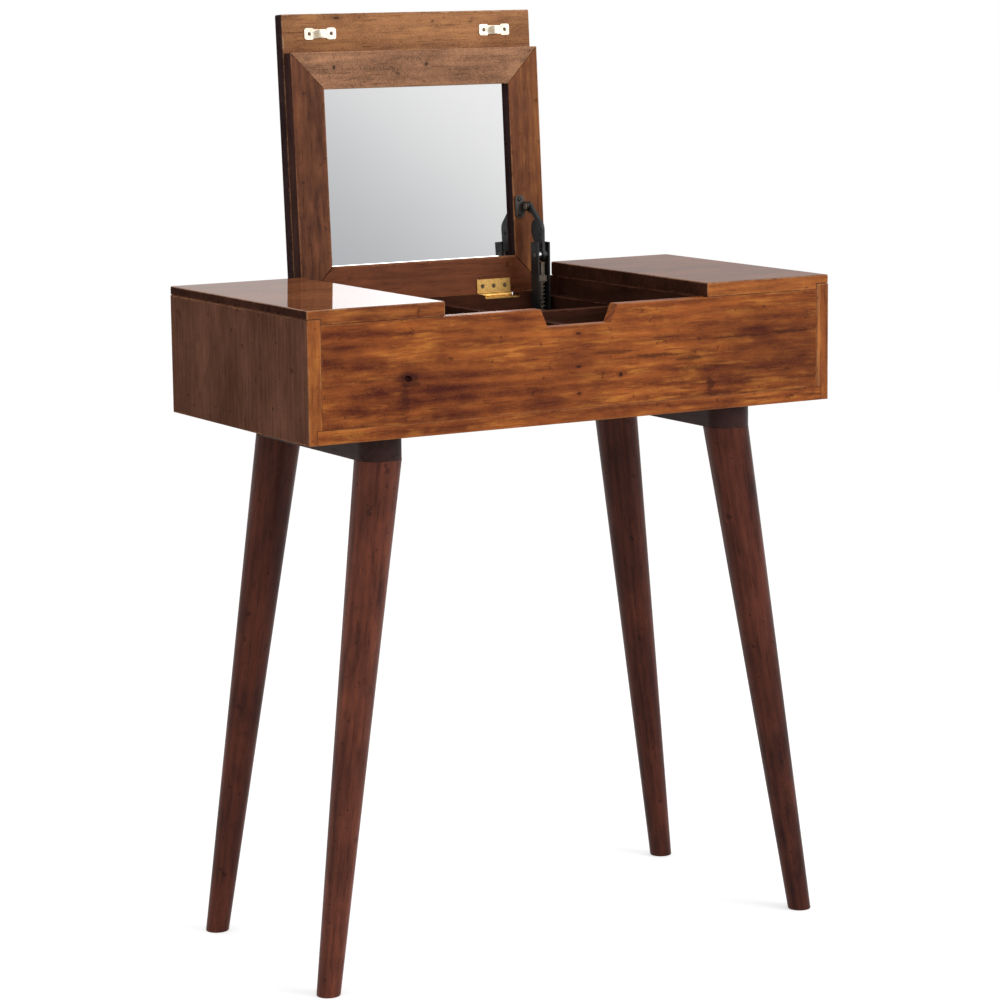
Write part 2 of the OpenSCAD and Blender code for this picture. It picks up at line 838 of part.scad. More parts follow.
// A block with a lengthwise bore for balls and springs, a slot for the prong and a screw ear at
// each end
module housing(side) {
    ball_r = ball_d / 2;
    bore_len = housing_body_len / 2 - plug_t - slot_w / 2 - lip_t;
    at_catch(side) difference() {
        union() {
            translate([-housing_body_len / 2, -housing_w / 2, -housing_h / 2])
                cube([housing_body_len, housing_w, housing_h]);
            translate([-housing_len / 2, -housing_w / 2, -housing_h / 2])
                cube([housing_len, housing_w, housing_wing_t]);
        }
        translate([-slot_w / 2, -housing_w, -housing_h / 2 + housing_wing_t])
            cube([slot_w, 2 * housing_w, housing_h]);
        for (m = [0, 1]) mirror([m, 0, 0]) {
            translate([slot_w / 2 + lip_t, 0, 0]) rotate([0, 90, 0])
                cylinder(h = bore_len, r = ball_r + pin_fit);
            rotate([0, 90, 0]) cylinder(h = slot_w / 2 + lip_t + overshoot / 2, r = lip_r);
        }
        housing_ear_places() screw_hole(tiny_screw);
    }
}

// The two screw places of a housing, seen from the middle of its bore
module housing_ear_places() {
    ear_mid = (housing_len + housing_body_len) / 4;
    for (x = [-ear_mid, ear_mid])
        translate([x, 0, -housing_h / 2 + housing_wing_t]) children();
}

module left_catch_housing() {
    color(brass) case_frame() housing(-1);
}

module right_catch_housing() {
    color(brass) case_frame() housing(1);
}

module housing_screws() {
    color(brass) case_frame() for (side = [-1, 1]) at_catch(side) housing_ear_places()
        screw(tiny_screw);
}

module catch_block(side) {
    color(inner_wood) case_frame() difference() {
        board([side * catch_offset - block_len / 2, block_y, housing_z - block_h],
            [block_len, block_w, block_h]);
        at_catch(side) housing_ear_places() screw_hole(tiny_screw);
    }
}

module left_catch_block() {
    catch_block(-1);
}

module right_catch_block() {
    catch_block(1);
}

// A catch ball: dir is -1 for the one on the left of the slot and 1 for the one on its right
module ball(side, dir) {
    color(zinc) case_frame() at_catch(side) translate([dir * ball_x, 0, 0]) sphere(d = ball_d);
}

module left_ball_a() {
    ball(-1, -1);
}

module left_ball_b() {
    ball(-1, 1);
}

module right_ball_a() {
    ball(1, -1);
}

module right_ball_b() {
    ball(1, 1);
}

// Each spring reaches from the bore's end to where a ball that is pushed right back lies
module catch_springs() {
    far = housing_body_len / 2 - plug_t;
    len = far - (ball_x + ball_d / 2 + ball_travel + joint_gap);
    color(zinc) case_frame() for (side = [-1, 1], m = [0, 1]) at_catch(side)
        mirror([m, 0, 0]) translate([far - len, 0, 0]) rotate([0, 90, 0])
            coil(catch_spring_r, catch_wire_d, catch_spring_turns, len);
}

// ---- Lid stay ----

// Extrudes a (Y, Z) outline along X, centred on a given X
module stay_slab(x, t) {
    translate([x - t / 2, 0, 0]) rotate([90, 0, 90]) linear_extrude(t) children();
}

// A bar with round ends about two points, each with its own radius
module bar(p, q, rp, rq) {
    along = (q - p) / norm(q - p);
    across = [along[1], -along[0]];
    lean = (rp - rq) / norm(q - p);
    flat = sqrt(1 - lean * lean);
    right = across * flat + along * lean;
    left = -across * flat + along * lean;
    translate(p) circle(rp);
    translate(q) circle(rq);
    polygon([p + right * rp, q + right * rq, q + left * rq, p + left * rp]);
}

// A pin along X at a (Y, Z) point, from x0 to x1
module cross_pin(p, x0, x1, r) {
    translate([x0, p[0], p[1]]) rotate([0, 90, 0]) cylinder(h = x1 - x0, r = r);
}

// The base plate's two screws, with their heads flush with its face
module base_screw_places() {
    for (z = [base_screw_inset, base_plate[2] - base_screw_inset])
        translate([ledge_face - base_plate[0], base_plate_y + base_plate[1] / 2, base_plate_z + z])
            rotate([0, -90, 0]) children();
}

module stay_base() {
    boss_x = stay_x + channel_w / 2 + joint_gap;
    color(dark_steel) case_frame() difference() {
        union() {
            translate([ledge_face - base_plate[0], base_plate_y, base_plate_z])
                rotate([90, 0, 90]) linear_extrude(base_plate[0])
                soft_rect(base_plate[1], base_plate[2], base_corner_r);
            cross_pin(base_pivot, boss_x, ledge_face - base_plate[0], base_boss_r);
        }
        cross_pin(base_pivot, boss_x - overshoot, ledge_face + overshoot, stay_pin_r + pin_fit);
        base_screw_places() screw_hole(small_screw);
    }
}

module stay_base_pin() {
    left = stay_x - channel_w / 2 - joint_gap;
    color(zinc) case_frame() {
        cross_pin(base_pivot, left, ledge_face, stay_pin_r);
        cross_pin(base_pivot, left - rivet_t, left, rivet_r);
    }
}

module stay_base_screws() {
    color(dark_steel) case_frame() base_screw_places() screw(small_screw);
}

// Stands what is drawn along +Z, from a base pivot at the origin, along the open arm
module on_arm() {
    case_frame() translate([0, base_pivot[0], base_pivot[1]]) rotate([arm_tilt, 0, 0]) children();
}

// A U section, open to the front: two flanges with round lower ends, a web behind them that stops
// short of the knee, and a cross seat for the spring
module stay_channel() {
    color(dark_steel) on_arm() difference() {
        union() {
            for (m = [-1, 1]) stay_slab(stay_x + m * (channel_w - channel_t) / 2, channel_t) {
                circle(channel_depth / 2);
                translate([-channel_depth / 2, 0]) square([channel_depth, arm_len + channel_end]);
            }
            translate([stay_x - channel_w / 2, channel_depth / 2 - channel_t, 0])
                cube([channel_w, channel_t, arm_len - web_cut]);
            difference() {
                translate([stay_x - channel_w / 2 + channel_t / 2, -channel_depth / 2 + channel_t,
                    seat_z])
                    cube([channel_w - channel_t, channel_depth - channel_t - channel_t / 2, seat_t]);
                translate([stay_x, 0, 0]) cylinder(h = arm_len, r = guide_r + joint_gap);
            }
        }
        for (z = [0, arm_len])
            cross_pin([0, z], stay_x - channel_w, stay_x + channel_w, stay_pin_r + pin_fit);
    }
}

module stay_knee_pin() {
    half = channel_w / 2;
    color(zinc) on_arm() cross_pin([0, arm_len], stay_x - half, stay_x + half, stay_pin_r);
}

// Spacer bushes between the link and the flanges
module stay_knee_bushes() {
    inner = channel_w / 2 - channel_t;
    outer = link_t / 2 + joint_gap;
    color(zinc) on_arm() difference() {
        for (span = [[stay_x - inner, link_x - outer], [link_x + outer, stay_x + inner]])
            cross_pin([0, arm_len], span[0], span[1], bush_r);
        cross_pin([0, arm_len], stay_x - channel_w, stay_x + channel_w, stay_pin_r + pin_fit);
    }
}

// A nose that bears on the link's lug, a body that slides in the channel and a guide rod
module stay_plunger() {
    shoulder_z = nose_tip - nose_len;
    color(zinc) on_arm() {
        translate([link_x - nose_w / 2, -nose_half, shoulder_z])
            cube([nose_w, 2 * nose_half, nose_len]);
        translate([stay_x - plunger_w / 2, -plunger_depth / 2, shoulder_z - plunger_len])
            cube([plunger_w, plunger_depth, plunger_len]);
        translate([stay_x, 0, seat_z - seat_t])
            cylinder(h = shoulder_z - plunger_len - seat_z + seat_t, r = guide_r);
    }
}

module stay_spring() {
    low = seat_z + seat_t;
    high = nose_tip - nose_len - plunger_len;
    color(zinc) on_arm() translate([stay_x, 0, low])
        coil(stay_spring_r, stay_wire_d, stay_spring_turns, high - low);
}

// The link's outline: a lug at the knee, a neck, a broad cam, and a finger that ends in an eye
module link_outline() {
    bar(knee, shoulder, neck_half, shoulder_r);
    translate(knee) circle(lug_r);
    bar(shoulder, cam, shoulder_r, cam_r);
    bar(finger_root, finger_elbow, finger_r, finger_r);
    bar(finger_elbow, lid_pivot, finger_r, eye_r);
}

module stay_link() {
    left = link_x - link_t / 2;
    color(dark_steel) case_frame() difference() {
        union() {
            stay_slab(link_x, link_t) link_outline();
            cross_pin(cam_rivet, left - cam_rivet_h, left, cam_rivet_r);
        }
        cross_pin(knee, left - overshoot, link_x + link_t, stay_pin_r + pin_fit);
        cross_pin(lid_pivot, left - overshoot, link_x + link_t, stay_pin_r + open_pivot_fit);
    }
}

// The bracket's two screws, drawn on the closed lid
module bracket_screw_places() {
    for (i = [-1, 1])
        translate([ear_x + ear_t - bracket_w / 2,
            axis_y - bracket_reach + i * bracket_screw_pitch / 2, frame_under_z - bracket_t])
            rotate([180, 0, 0]) children();
}

// A plate on the mirror frame with an ear turned down at its outer edge, drawn on the closed lid
module stay_lid_bracket() {
    pivot_y = axis_y - bracket_reach;
    pivot_z = axis_z - bracket_drop;
    color(dark_steel) on_lid() difference() {
        union() {
            translate([ear_x + ear_t - bracket_w, pivot_y - bracket_len / 2,
                frame_under_z - bracket_t])
                linear_extrude(bracket_t)
                soft_rect(bracket_w, bracket_len, (bracket_w - bracket_end_flat) / 2);
            translate([ear_x, pivot_y - ear_r, pivot_z])
                cube([ear_t, 2 * ear_r, frame_under_z - pivot_z]);
            cross_pin([pivot_y, pivot_z], ear_x, ear_x + ear_t, ear_r);
        }
        cross_pin([pivot_y, pivot_z], ear_x - overshoot, link_x, stay_pin_r + pin_fit);
        bracket_screw_places() round_screw_hole();
    }
}

module stay_lid_pin() {
    p = [axis_y - bracket_reach, axis_z - bracket_drop];
    right = link_x + link_t / 2 + joint_gap;
    color(zinc) on_lid() {
        cross_pin(p, ear_x - rivet_t, right, stay_pin_r);
        cross_pin(p, ear_x - rivet_t, ear_x, rivet_r);
        cross_pin(p, right, right + rivet_t, rivet_r);
    }
}

module stay_lid_screws() {
    color(zinc) on_lid() bracket_screw_places() round_screw();
}

left_side_panel();
right_side_panel();
front_panel();
back_panel();
bottom_panel();
left_wing_top();
right_wing_top();
left_partition();
right_partition();
left_ledge();
right_ledge();
centre_divider();
cross_divider();
left_cleat();
right_cleat();
cleat_screws();
front_left_leg();
front_right_leg();
back_left_leg();
back_right_leg();
leg_bolts();
lid_panel();
frame_front_rail();
frame_back_rail();
frame_left_stile();
frame_right_stile();
mirror_glass();
mirror_backing();
left_hinge_case_leaf();
right_hinge_case_leaf();
left_hinge_lid_leaf();
right_hinge_lid_leaf();
hinge_pins();
case_hinge_screws();
lid_hinge_screws();
left_catch_strike();
right_catch_strike();
strike_screws();
left_catch_housing();
right_catch_housing();
housing_screws();
left_catch_block();
right_catch_block();
left_ball_a();
left_ball_b();
right_ball_a();
right_ball_b();
catch_springs();
stay_base();
stay_base_pin();
stay_base_screws();
stay_channel();
stay_knee_pin();
stay_knee_bushes();
stay_plunger();
stay_spring();
stay_link();
stay_lid_bracket();
stay_lid_pin();
stay_lid_screws();
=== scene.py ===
"""A flip top vanity table: a shallow case on four splayed legs, with a mirrored lid held by a stay."""

import json
import logging
import math
from collections.abc import Callable, Mapping, Sequence
from dataclasses import dataclass
from enum import Enum

import bmesh
import bpy
from mathutils import Matrix, Vector


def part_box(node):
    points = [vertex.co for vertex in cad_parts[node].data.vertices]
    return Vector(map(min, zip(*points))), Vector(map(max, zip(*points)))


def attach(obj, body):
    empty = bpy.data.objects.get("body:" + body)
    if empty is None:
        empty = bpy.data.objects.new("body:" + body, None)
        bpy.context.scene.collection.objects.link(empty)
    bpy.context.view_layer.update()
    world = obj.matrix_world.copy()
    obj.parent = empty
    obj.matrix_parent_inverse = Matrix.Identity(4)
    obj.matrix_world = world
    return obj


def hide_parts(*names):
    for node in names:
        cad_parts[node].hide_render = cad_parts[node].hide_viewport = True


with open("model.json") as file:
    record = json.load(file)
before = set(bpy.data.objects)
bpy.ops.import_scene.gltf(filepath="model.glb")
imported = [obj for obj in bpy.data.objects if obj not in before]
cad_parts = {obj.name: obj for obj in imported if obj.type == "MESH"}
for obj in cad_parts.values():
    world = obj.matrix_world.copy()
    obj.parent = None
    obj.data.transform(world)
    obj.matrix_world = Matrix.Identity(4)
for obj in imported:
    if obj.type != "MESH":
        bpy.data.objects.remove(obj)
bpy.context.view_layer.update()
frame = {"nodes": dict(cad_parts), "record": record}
BODIES: dict[str, str] = {
    node: body
    for body, nodes in frame["record"]["behaviour"]["bodies"].items()
    for node in nodes
}

log = logging.getLogger("vanity_table")

Triple = tuple[float, float, float]
Outline = Sequence[tuple[float, float]]
Socket = bpy.types.NodeSocket


class Side(Enum):
    """The two ends of the table."""

    LEFT = -1
    RIGHT = 1

    @property
    def word(self) -> str:
        """Its name, as it stands in the nodes' names."""
        return self.name.lower()


class Run(Enum):
    """The way the grain of a board runs when the lid is shut."""

    ACROSS = "x"
    DEEP = "y"
    UPRIGHT = "z"

    def turn(self) -> Matrix:
        """The turn that lays a board's own X axis along its grain."""
        degrees, axis = {Run.ACROSS: (0, "X"), Run.DEEP: (90, "Z"), Run.UPRIGHT: (-90, "Y")}[self]
        return Matrix.Rotation(math.radians(degrees), 3, axis)

    def sizes(self, size: Vector) -> Vector:
        """Sizes along X, Y and Z, put in the order of the board's own axes."""
        return getattr(size, {Run.ACROSS: "xyz", Run.DEEP: "yxz", Run.UPRIGHT: "zyx"}[self])


@dataclass(frozen=True)
class Lay:
    """Where a piece lies, for the patterns on it.

    Args:
        centre: the middle of the piece.
        turn: the turn from the piece's own axes to the table's.
        half: half its sizes along its own axes.
        seed: a number that makes its pattern its own.
    """

    centre: Vector
    turn: Matrix
    half: Vector
    seed: float

    @classmethod
    def of_box(cls, low: Vector, high: Vector, run: Run, seed: float) -> "Lay":
        """The lay of a board that fills a box, from its lowest corner to its highest."""
        return cls((low + high) / 2, run.turn(), run.sizes((high - low) / 2), seed)

    def turned(self, turn: Matrix, about: Vector) -> "Lay":
        """The same lay after the piece is turned about a point."""
        return Lay(about + turn @ (self.centre - about), turn @ self.turn, self.half, self.seed)


# ---- Materials: shader graphs and the node groups that they share ----


class Graph:
    """Adds nodes to one node tree, and joins them."""

    def __init__(self, tree: bpy.types.NodeTree) -> None:
        """Takes the tree to work on."""
        self.tree = tree

    def feed(self, socket: Socket, value: object) -> None:
        """Joins a socket to another, or gives it a plain value.

        Args:
            socket: the input.
            value: a socket, a number, a vector or a colour.
        """
        if isinstance(value, Socket):
            self.tree.links.new(value, socket)
        elif socket.type == "RGBA":
            socket.default_value = (*tuple(value)[:3], 1.0)
        else:
            socket.default_value = value

    def fill(self, node: bpy.types.Node, values: Mapping[int | str, object]) -> None:
        """Feeds a node's inputs, by their names or numbers."""
        for socket, value in values.items():
            self.feed(node.inputs[socket], value)

    def add(self, kind: str, values: Mapping[int | str, object] | None = None,
            **settings: object) -> bpy.types.Node:
        """Adds a node, sets its properties and feeds its inputs.

        Args:
            kind: the node's type name.
            values: what its inputs get, by their names or numbers.
            **settings: its properties.

        Returns:
            The node.
        """
        node = self.tree.nodes.new(kind)
        for name, value in settings.items():
            setattr(node, name, value)
        self.fill(node, values or {})
        return node

    def math(self, kind: str, a: object, b: object = 0.0, clamp: bool = False) -> Socket:
        """A sum on two numbers. With clamp its answer stays between 0 and 1."""
        return self.add("ShaderNodeMath", {0: a, 1: b}, operation=kind, use_clamp=clamp).outputs[0]

    def times(self, a: object, b: object) -> Socket:
        """One number times another."""
        return self.math("MULTIPLY", a, b)

    def lean(self, value: object, share: object) -> Socket:
        """How far a number lies from a half, times a share."""
        return self.times(self.math("SUBTRACT", value, 0.5), share)

    def vector(self, kind: str, a: object, b: object = (0.0, 0.0, 0.0)) -> Socket:
        """A sum on two vectors."""
        node = self.add("ShaderNodeVectorMath", {0: a, 1: b}, operation=kind)
        return node.outputs["Value" if kind in ("LENGTH", "DOT_PRODUCT") else "Vector"]

    def scaled(self, a: object, by: object) -> Socket:
        """A vector times a number."""
        return self.add("ShaderNodeVectorMath", {0: a, "Scale": by}, operation="SCALE").outputs["Vector"]

    def moved(self, a: object, step: Triple, times: object) -> Socket:
        """A vector moved on by a number of steps."""
        return self.vector("ADD", a, self.scaled(step, times))

    def stretched(self, a: object, by: Triple) -> Socket:
        """A vector times a number of its own along each axis."""
        return self.vector("MULTIPLY", a, by)

    def noise(self, where: object, scale: float, detail: float = 3.0, rough: float = 0.55) -> Socket:
        """Cloudy noise about 0.5, by its fineness, its layers and the strength of the finer ones."""
        values = {"Vector": where, "Scale": scale, "Detail": detail, "Roughness": rough}
        return self.add("ShaderNodeTexNoise", values).outputs["Fac"]

    def span(self, value: object, low: object, high: object, to_low: float = 0.0,
             to_high: float = 1.0) -> Socket:
        """Carries the numbers from low to high smoothly over to those from to_low to to_high."""
        values = {"Value": value, "From Min": low, "From Max": high, "To Min": to_low, "To Max": to_high}
        return self.add("ShaderNodeMapRange", values, interpolation_type="SMOOTHSTEP").outputs["Result"]

    def blend(self, share: object, a: object, b: object) -> Socket:
        """The first colour with a share of the second."""
        values = {0: share, 6: a, 7: b}
        return self.add("ShaderNodeMix", values, data_type="RGBA", clamp_factor=True).outputs[2]

    def place(self, group: bpy.types.NodeTree, **values: object) -> Mapping[str, Socket]:
        """Puts a node group in with its values. Its outputs come back."""
        return self.add("ShaderNodeGroup", values, node_tree=group).outputs


class Group:
    """A shader node group, from vectors and numbers to numbers."""

    def __init__(self, name: str, vectors: str, numbers: str) -> None:
        """Makes the group and its inputs.

        Args:
            name: the group's name.
            vectors: the names of its vector inputs, with spaces between them.
            numbers: the names of its number inputs, in the same way.
        """
        self.tree = bpy.data.node_groups.new(name, "ShaderNodeTree")
        for names, kind in ((vectors, "NodeSocketVector"), (numbers, "NodeSocketFloat")):
            for socket in names.split():
                self.tree.interface.new_socket(socket, in_out="INPUT", socket_type=kind)
        self.graph = Graph(self.tree)
        self.inputs = self.graph.add("NodeGroupInput").outputs

    def give(self, **values: Socket) -> bpy.types.NodeTree:
        """Makes the group's outputs and joins them.

        Args:
            **values: what each output gives.

        Returns:
            The group.
        """
        for name in values:
            self.tree.interface.new_socket(name, in_out="OUTPUT", socket_type="NodeSocketFloat")
        self.graph.add("NodeGroupOutput", values)
        return self.tree


def make_grain() -> bpy.types.NodeTree:
    """Wood grain, with the length of the board along X.

    Returns:
        The group, whose Tone runs from 0 in the dark streaks to 1 in the pale ones.
    """
    group = Group("wood_grain", "Vector", "Seed Rings Ripple Streak Fleck")
    g, put = group.graph, group.inputs
    drawn_out = (0.16, 1.0, 1.0)
    here = g.moved(put["Vector"], (7.3, 3.1, 5.7), put["Seed"])
    long = g.stretched(here, drawn_out)
    heart = g.vector("ADD", g.stretched(put["Vector"], drawn_out), (0.0, 0.16, -0.09))
    rings = {"Vector": g.moved(heart, (0.0, 0.01, 0.013), put["Seed"]),
             "Scale": 34.0, "Distortion": 9.0, "Detail": 3.0, "Detail Scale": 0.55}
    wave = g.add("ShaderNodeTexWave", rings, wave_type="RINGS", rings_direction="X", wave_profile="SIN")
    broad = g.noise(long, scale=14.0, detail=4.0, rough=0.6)
    streak = g.noise(long, scale=95.0, detail=4.0, rough=0.7)
    fine = g.noise(g.stretched(here, (0.05, 1.0, 1.0)), scale=460.0, detail=2.0, rough=0.6)
    patch = g.noise(g.stretched(here, (0.5, 1.0, 1.0)), scale=26.0, detail=4.0, rough=0.65)
    ripple = g.noise(g.stretched(here, (1.0, 0.14, 0.14)), scale=210.0, detail=2.0, rough=0.5)
    lick = g.noise(g.stretched(here, (0.10, 1.0, 1.0)), scale=210.0, detail=3.0, rough=0.6)
    speckle = g.noise(put["Vector"], scale=620.0, detail=3.0, rough=0.7)
    chatter = g.times(g.span(patch, 0.45, 0.7), put["Ripple"])
    tone = broad
    for figure, share in ((streak, put["Streak"]), (patch, 1.0), (speckle, put["Fleck"]),
                          (wave.outputs["Fac"], put["Rings"])):
        tone = g.math("ADD", tone, g.lean(figure, share))
    tone = g.math("ADD", tone, g.lean(ripple, chatter), clamp=True)
    pores = g.span(fine, 0.56, 0.70)
    return group.give(Tone=g.math("ADD", g.lean(tone, 1.2), 0.5, clamp=True), Pores=pores,
                      Glow=g.times(g.span(lick, 0.46, 0.66), g.span(patch, 0.40, 0.66)),
                      Height=g.math("SUBTRACT", g.times(streak, 0.5), g.times(pores, 0.6)))


def make_wear() -> bpy.types.NodeTree:
    """Wear along the edges of a board, from its own coordinates.

    Returns:
        The group, whose Edge is 1 on a worn arris.
    """
    group = Group("edge_wear", "Vector Half", "Width Seed")
    g, put = group.graph, group.inputs
    inside = g.vector("SUBTRACT", put["Half"], g.vector("ABSOLUTE", put["Vector"]))
    x, y, z = g.add("ShaderNodeSeparateXYZ", {0: inside}).outputs
    near = g.math("MINIMUM", x, y)
    middle = g.math("MAXIMUM", near, g.math("MINIMUM", g.math("MAXIMUM", x, y), z))
    rag = g.noise(g.moved(put["Vector"], (1.0, 1.0, 1.0), put["Seed"]), scale=95.0, detail=3.0, rough=0.7)
    patchy = g.noise(g.moved(put["Vector"], (2.0, 1.0, 3.0), put["Seed"]), scale=9.0, detail=2.0, rough=0.6)
    uneven = g.times(g.span(rag, 0.3, 0.7, 0.3, 1.7), g.span(patchy, 0.35, 0.62, 0.35, 1.5))
    reach = g.times(put["Width"], uneven)
    return group.give(Edge=g.span(g.math("DIVIDE", middle, reach), 1.0, 0.25))


def make_mark() -> bpy.types.NodeTree:
    """A knot or a streak: an oval spot with a ragged edge and a halo.

    Returns:
        The group.
    """
    group = Group("wood_mark", "Vector Centre Size", "Rag")
    g, put = group.graph, group.inputs
    off = g.vector("DIVIDE", g.vector("SUBTRACT", put["Vector"], put["Centre"]), put["Size"])
    ragged = g.noise(g.stretched(put["Vector"], (0.35, 1.0, 1.0)), scale=240.0, detail=3.0, rough=0.6)
    far = g.math("ADD", g.vector("LENGTH", off), g.lean(ragged, put["Rag"]))
    return group.give(Core=g.span(far, 1.0, 0.55), Halo=g.span(far, 2.4, 0.8))


def make_patina() -> bpy.types.NodeTree:
    """Smudges and specks of age.

    Returns:
        The group.
    """
    group = Group("patina", "Vector", "Seed")
    g, put = group.graph, group.inputs
    here = g.moved(put["Vector"], (1.7, 0.6, 2.9), put["Seed"])
    return group.give(Smudge=g.span(g.noise(here, scale=6.0, detail=4.0, rough=0.6), 0.35, 0.7),
                      Speck=g.span(g.noise(here, scale=95.0, detail=2.0, rough=0.5), 0.66, 0.74))


def make_scuffs() -> bpy.types.NodeTree:
    """Fine scratches and dull spots of handled metal.

    Returns:
        The group.
    """
    group = Group("metal_scuffs", "Vector", "Seed")
    g, put = group.graph, group.inputs
    here = g.moved(put["Vector"], (1.0, 1.0, 1.0), put["Seed"])
    lines = g.noise(g.stretched(here, (0.12, 1.0, 1.0)), scale=1600.0, detail=2.0, rough=0.6)
    across = g.noise(g.stretched(here, (1.0, 1.0, 0.12)), scale=1300.0, detail=2.0, rough=0.6)
    return group.give(Scratch=g.span(g.math("MAXIMUM", lines, across), 0.56, 0.72),
                      Dull=g.span(g.noise(here, scale=170.0, detail=4.0, rough=0.65), 0.38, 0.66))


GRAIN = make_grain()
WEAR = make_wear()
MARK = make_mark()
PATINA = make_patina()
SCUFFS = make_scuffs()


class Coat:
    """A material under construction: its graph, its shader and its piece's own coordinates."""

    def __init__(self, name: str, lay: Lay) -> None:
        """Makes the material.

        Args:
            name: its name.
            lay: where its piece lies.
        """
        self.material = bpy.data.materials.new(name)
        self.material.use_nodes = True
        self.material.node_tree.nodes.clear()
        g = self.graph = Graph(self.material.node_tree)
        self.shader = g.add("ShaderNodeBsdfPrincipled")
        g.add("ShaderNodeOutputMaterial", {"Surface": self.shader.outputs["BSDF"]})
        where = {"Vector": g.add("ShaderNodeTexCoord").outputs["Object"], "Location": lay.centre,
                 "Rotation": lay.turn.to_euler("XYZ")}
        self.own = g.add("ShaderNodeMapping", where, vector_type="TEXTURE").outputs["Vector"]

    def finish(self, values: Mapping[str, object], height: Socket, depth: float) -> bpy.types.Material:
        """Sets the surface.

        Args:
            values: what the shader's inputs get, by their names.
            height: its relief, from 0 to 1.
            depth: how deep that relief goes, in metres.

        Returns:
            The material.
        """
        bump = self.graph.add("ShaderNodeBump", {"Strength": 1.0, "Distance": depth, "Height": height})
        self.graph.fill(self.shader, {**values, "Normal": bump.outputs["Normal"]})
        return self.material


@dataclass(frozen=True)
class Mark:
    """A knot, a pin hole, a streak or a patch of painted shade on a board.

    Args:
        centre: its middle, in the board's own coordinates.
        size: its half sizes there.
        strength: how strong it is, from 0 to 1.
        rag: how ragged its edge is.
        pale: whether it is lighter than the board.
    """

    centre: Triple
    size: Triple
    strength: float = 0.8
    rag: float = 1.2
    pale: bool = False


GOLDEN: Triple = (0.66, 0.25, 0.045)


@dataclass(frozen=True)
class WoodFinish:
    """A stained and oiled wood.

    Args:
        slot: the record's material slot.
        dark: the colour of its dark streaks.
        light: the colour of its pale streaks.
        worn: the colour of its worn edges.
        rough: its roughness.
        gloss: the weight of its clear coat.
        coat_rough: the roughness of that coat.
        sheen: the level of its plain reflection.
        rings: the strength of its year rings.
        ripple: the strength of its cross ripple.
        streak: the strength of its fine streaks.
        fleck: the strength of its flecks.
        glow: the strength of its golden patches.
        gold: the colour of those patches.
        wear: the reach of its edge wear, in metres.
        worn_share: how strongly the edges are worn.
        relief: the depth of its grain, in metres.
    """

    slot: str
    dark: Triple
    light: Triple
    worn: Triple
    rough: float = 0.42
    gloss: float = 0.0
    coat_rough: float = 0.22
    sheen: float = 0.1
    rings: float = 0.12
    ripple: float = 0.25
    streak: float = 0.9
    fleck: float = 0.25
    glow: float = 0.0
    gold: Triple = GOLDEN
    wear: float = 0.0016
    worn_share: float = 0.55
    relief: float = 0.00008

    def deep(self, share: float) -> Triple:
        """A share of the dark streaks' colour."""
        return tuple(c * share for c in self.dark)

    def marked(self, coat: Coat, colour: Socket, marks: Sequence[Mark]) -> Socket:
        """Lays knots, streaks and patches of painted shade over a colour.

        Args:
            coat: the material under construction.
            colour: the colour so far.
            marks: the knots, streaks and patches of painted shade.

        Returns:
            The colour with the marks.
        """
        g = coat.graph
        for mark in marks:
            spot = g.place(MARK, Vector=coat.own, Centre=mark.centre, Size=mark.size, Rag=mark.rag)
            halo, core = (self.worn, self.light) if mark.pale else (self.dark, self.deep(0.16))
            colour = g.blend(g.times(spot["Halo"], 0.4 * mark.strength), colour, halo)
            colour = g.blend(g.times(spot["Core"], mark.strength), colour, core)
        return colour

    def dress(self, lay: Lay, marks: Sequence[Mark] = (), name: str = "") -> bpy.types.Material:
        """Makes the material for one board.

        Args:
            lay: where the board lies.
            marks: the knots, streaks and patches of painted shade on it.
            name: the material's name, where the slot's won't do.

        Returns:
            The material.
        """
        coat = Coat(f"{name or self.slot}_{lay.seed:.0f}", lay)
        g = coat.graph
        grain = g.place(GRAIN, Vector=coat.own, Seed=lay.seed, Rings=self.rings, Ripple=self.ripple,
                        Streak=self.streak, Fleck=self.fleck)
        age = g.place(PATINA, Vector=coat.own, Seed=lay.seed)
        colour = g.blend(grain["Tone"], self.dark, self.light)
        for share, over in ((g.times(grain["Glow"], self.glow), self.gold),
                            (g.times(grain["Pores"], 0.45), self.deep(0.35)),
                            (g.times(age["Smudge"], 0.3), self.deep(0.8)),
                            (g.times(age["Speck"], 0.5), self.deep(0.3))):
            colour = g.blend(share, colour, over)
        colour = self.marked(coat, colour, marks)
        edge = g.place(WEAR, Vector=coat.own, Half=lay.half, Width=self.wear, Seed=lay.seed)["Edge"]
        rough = g.math("ADD", g.times(age["Smudge"], 0.12), self.rough - 0.05)
        return coat.finish({
            "Base Color": g.blend(g.times(edge, self.worn_share), colour, self.worn),
            "Roughness": g.math("ADD", rough, g.times(grain["Pores"], 0.15)),
            "Specular IOR Level": self.sheen,
            "Coat Weight": self.gloss,
            "Coat Roughness": self.coat_rough,
        }, grain["Height"], self.relief)


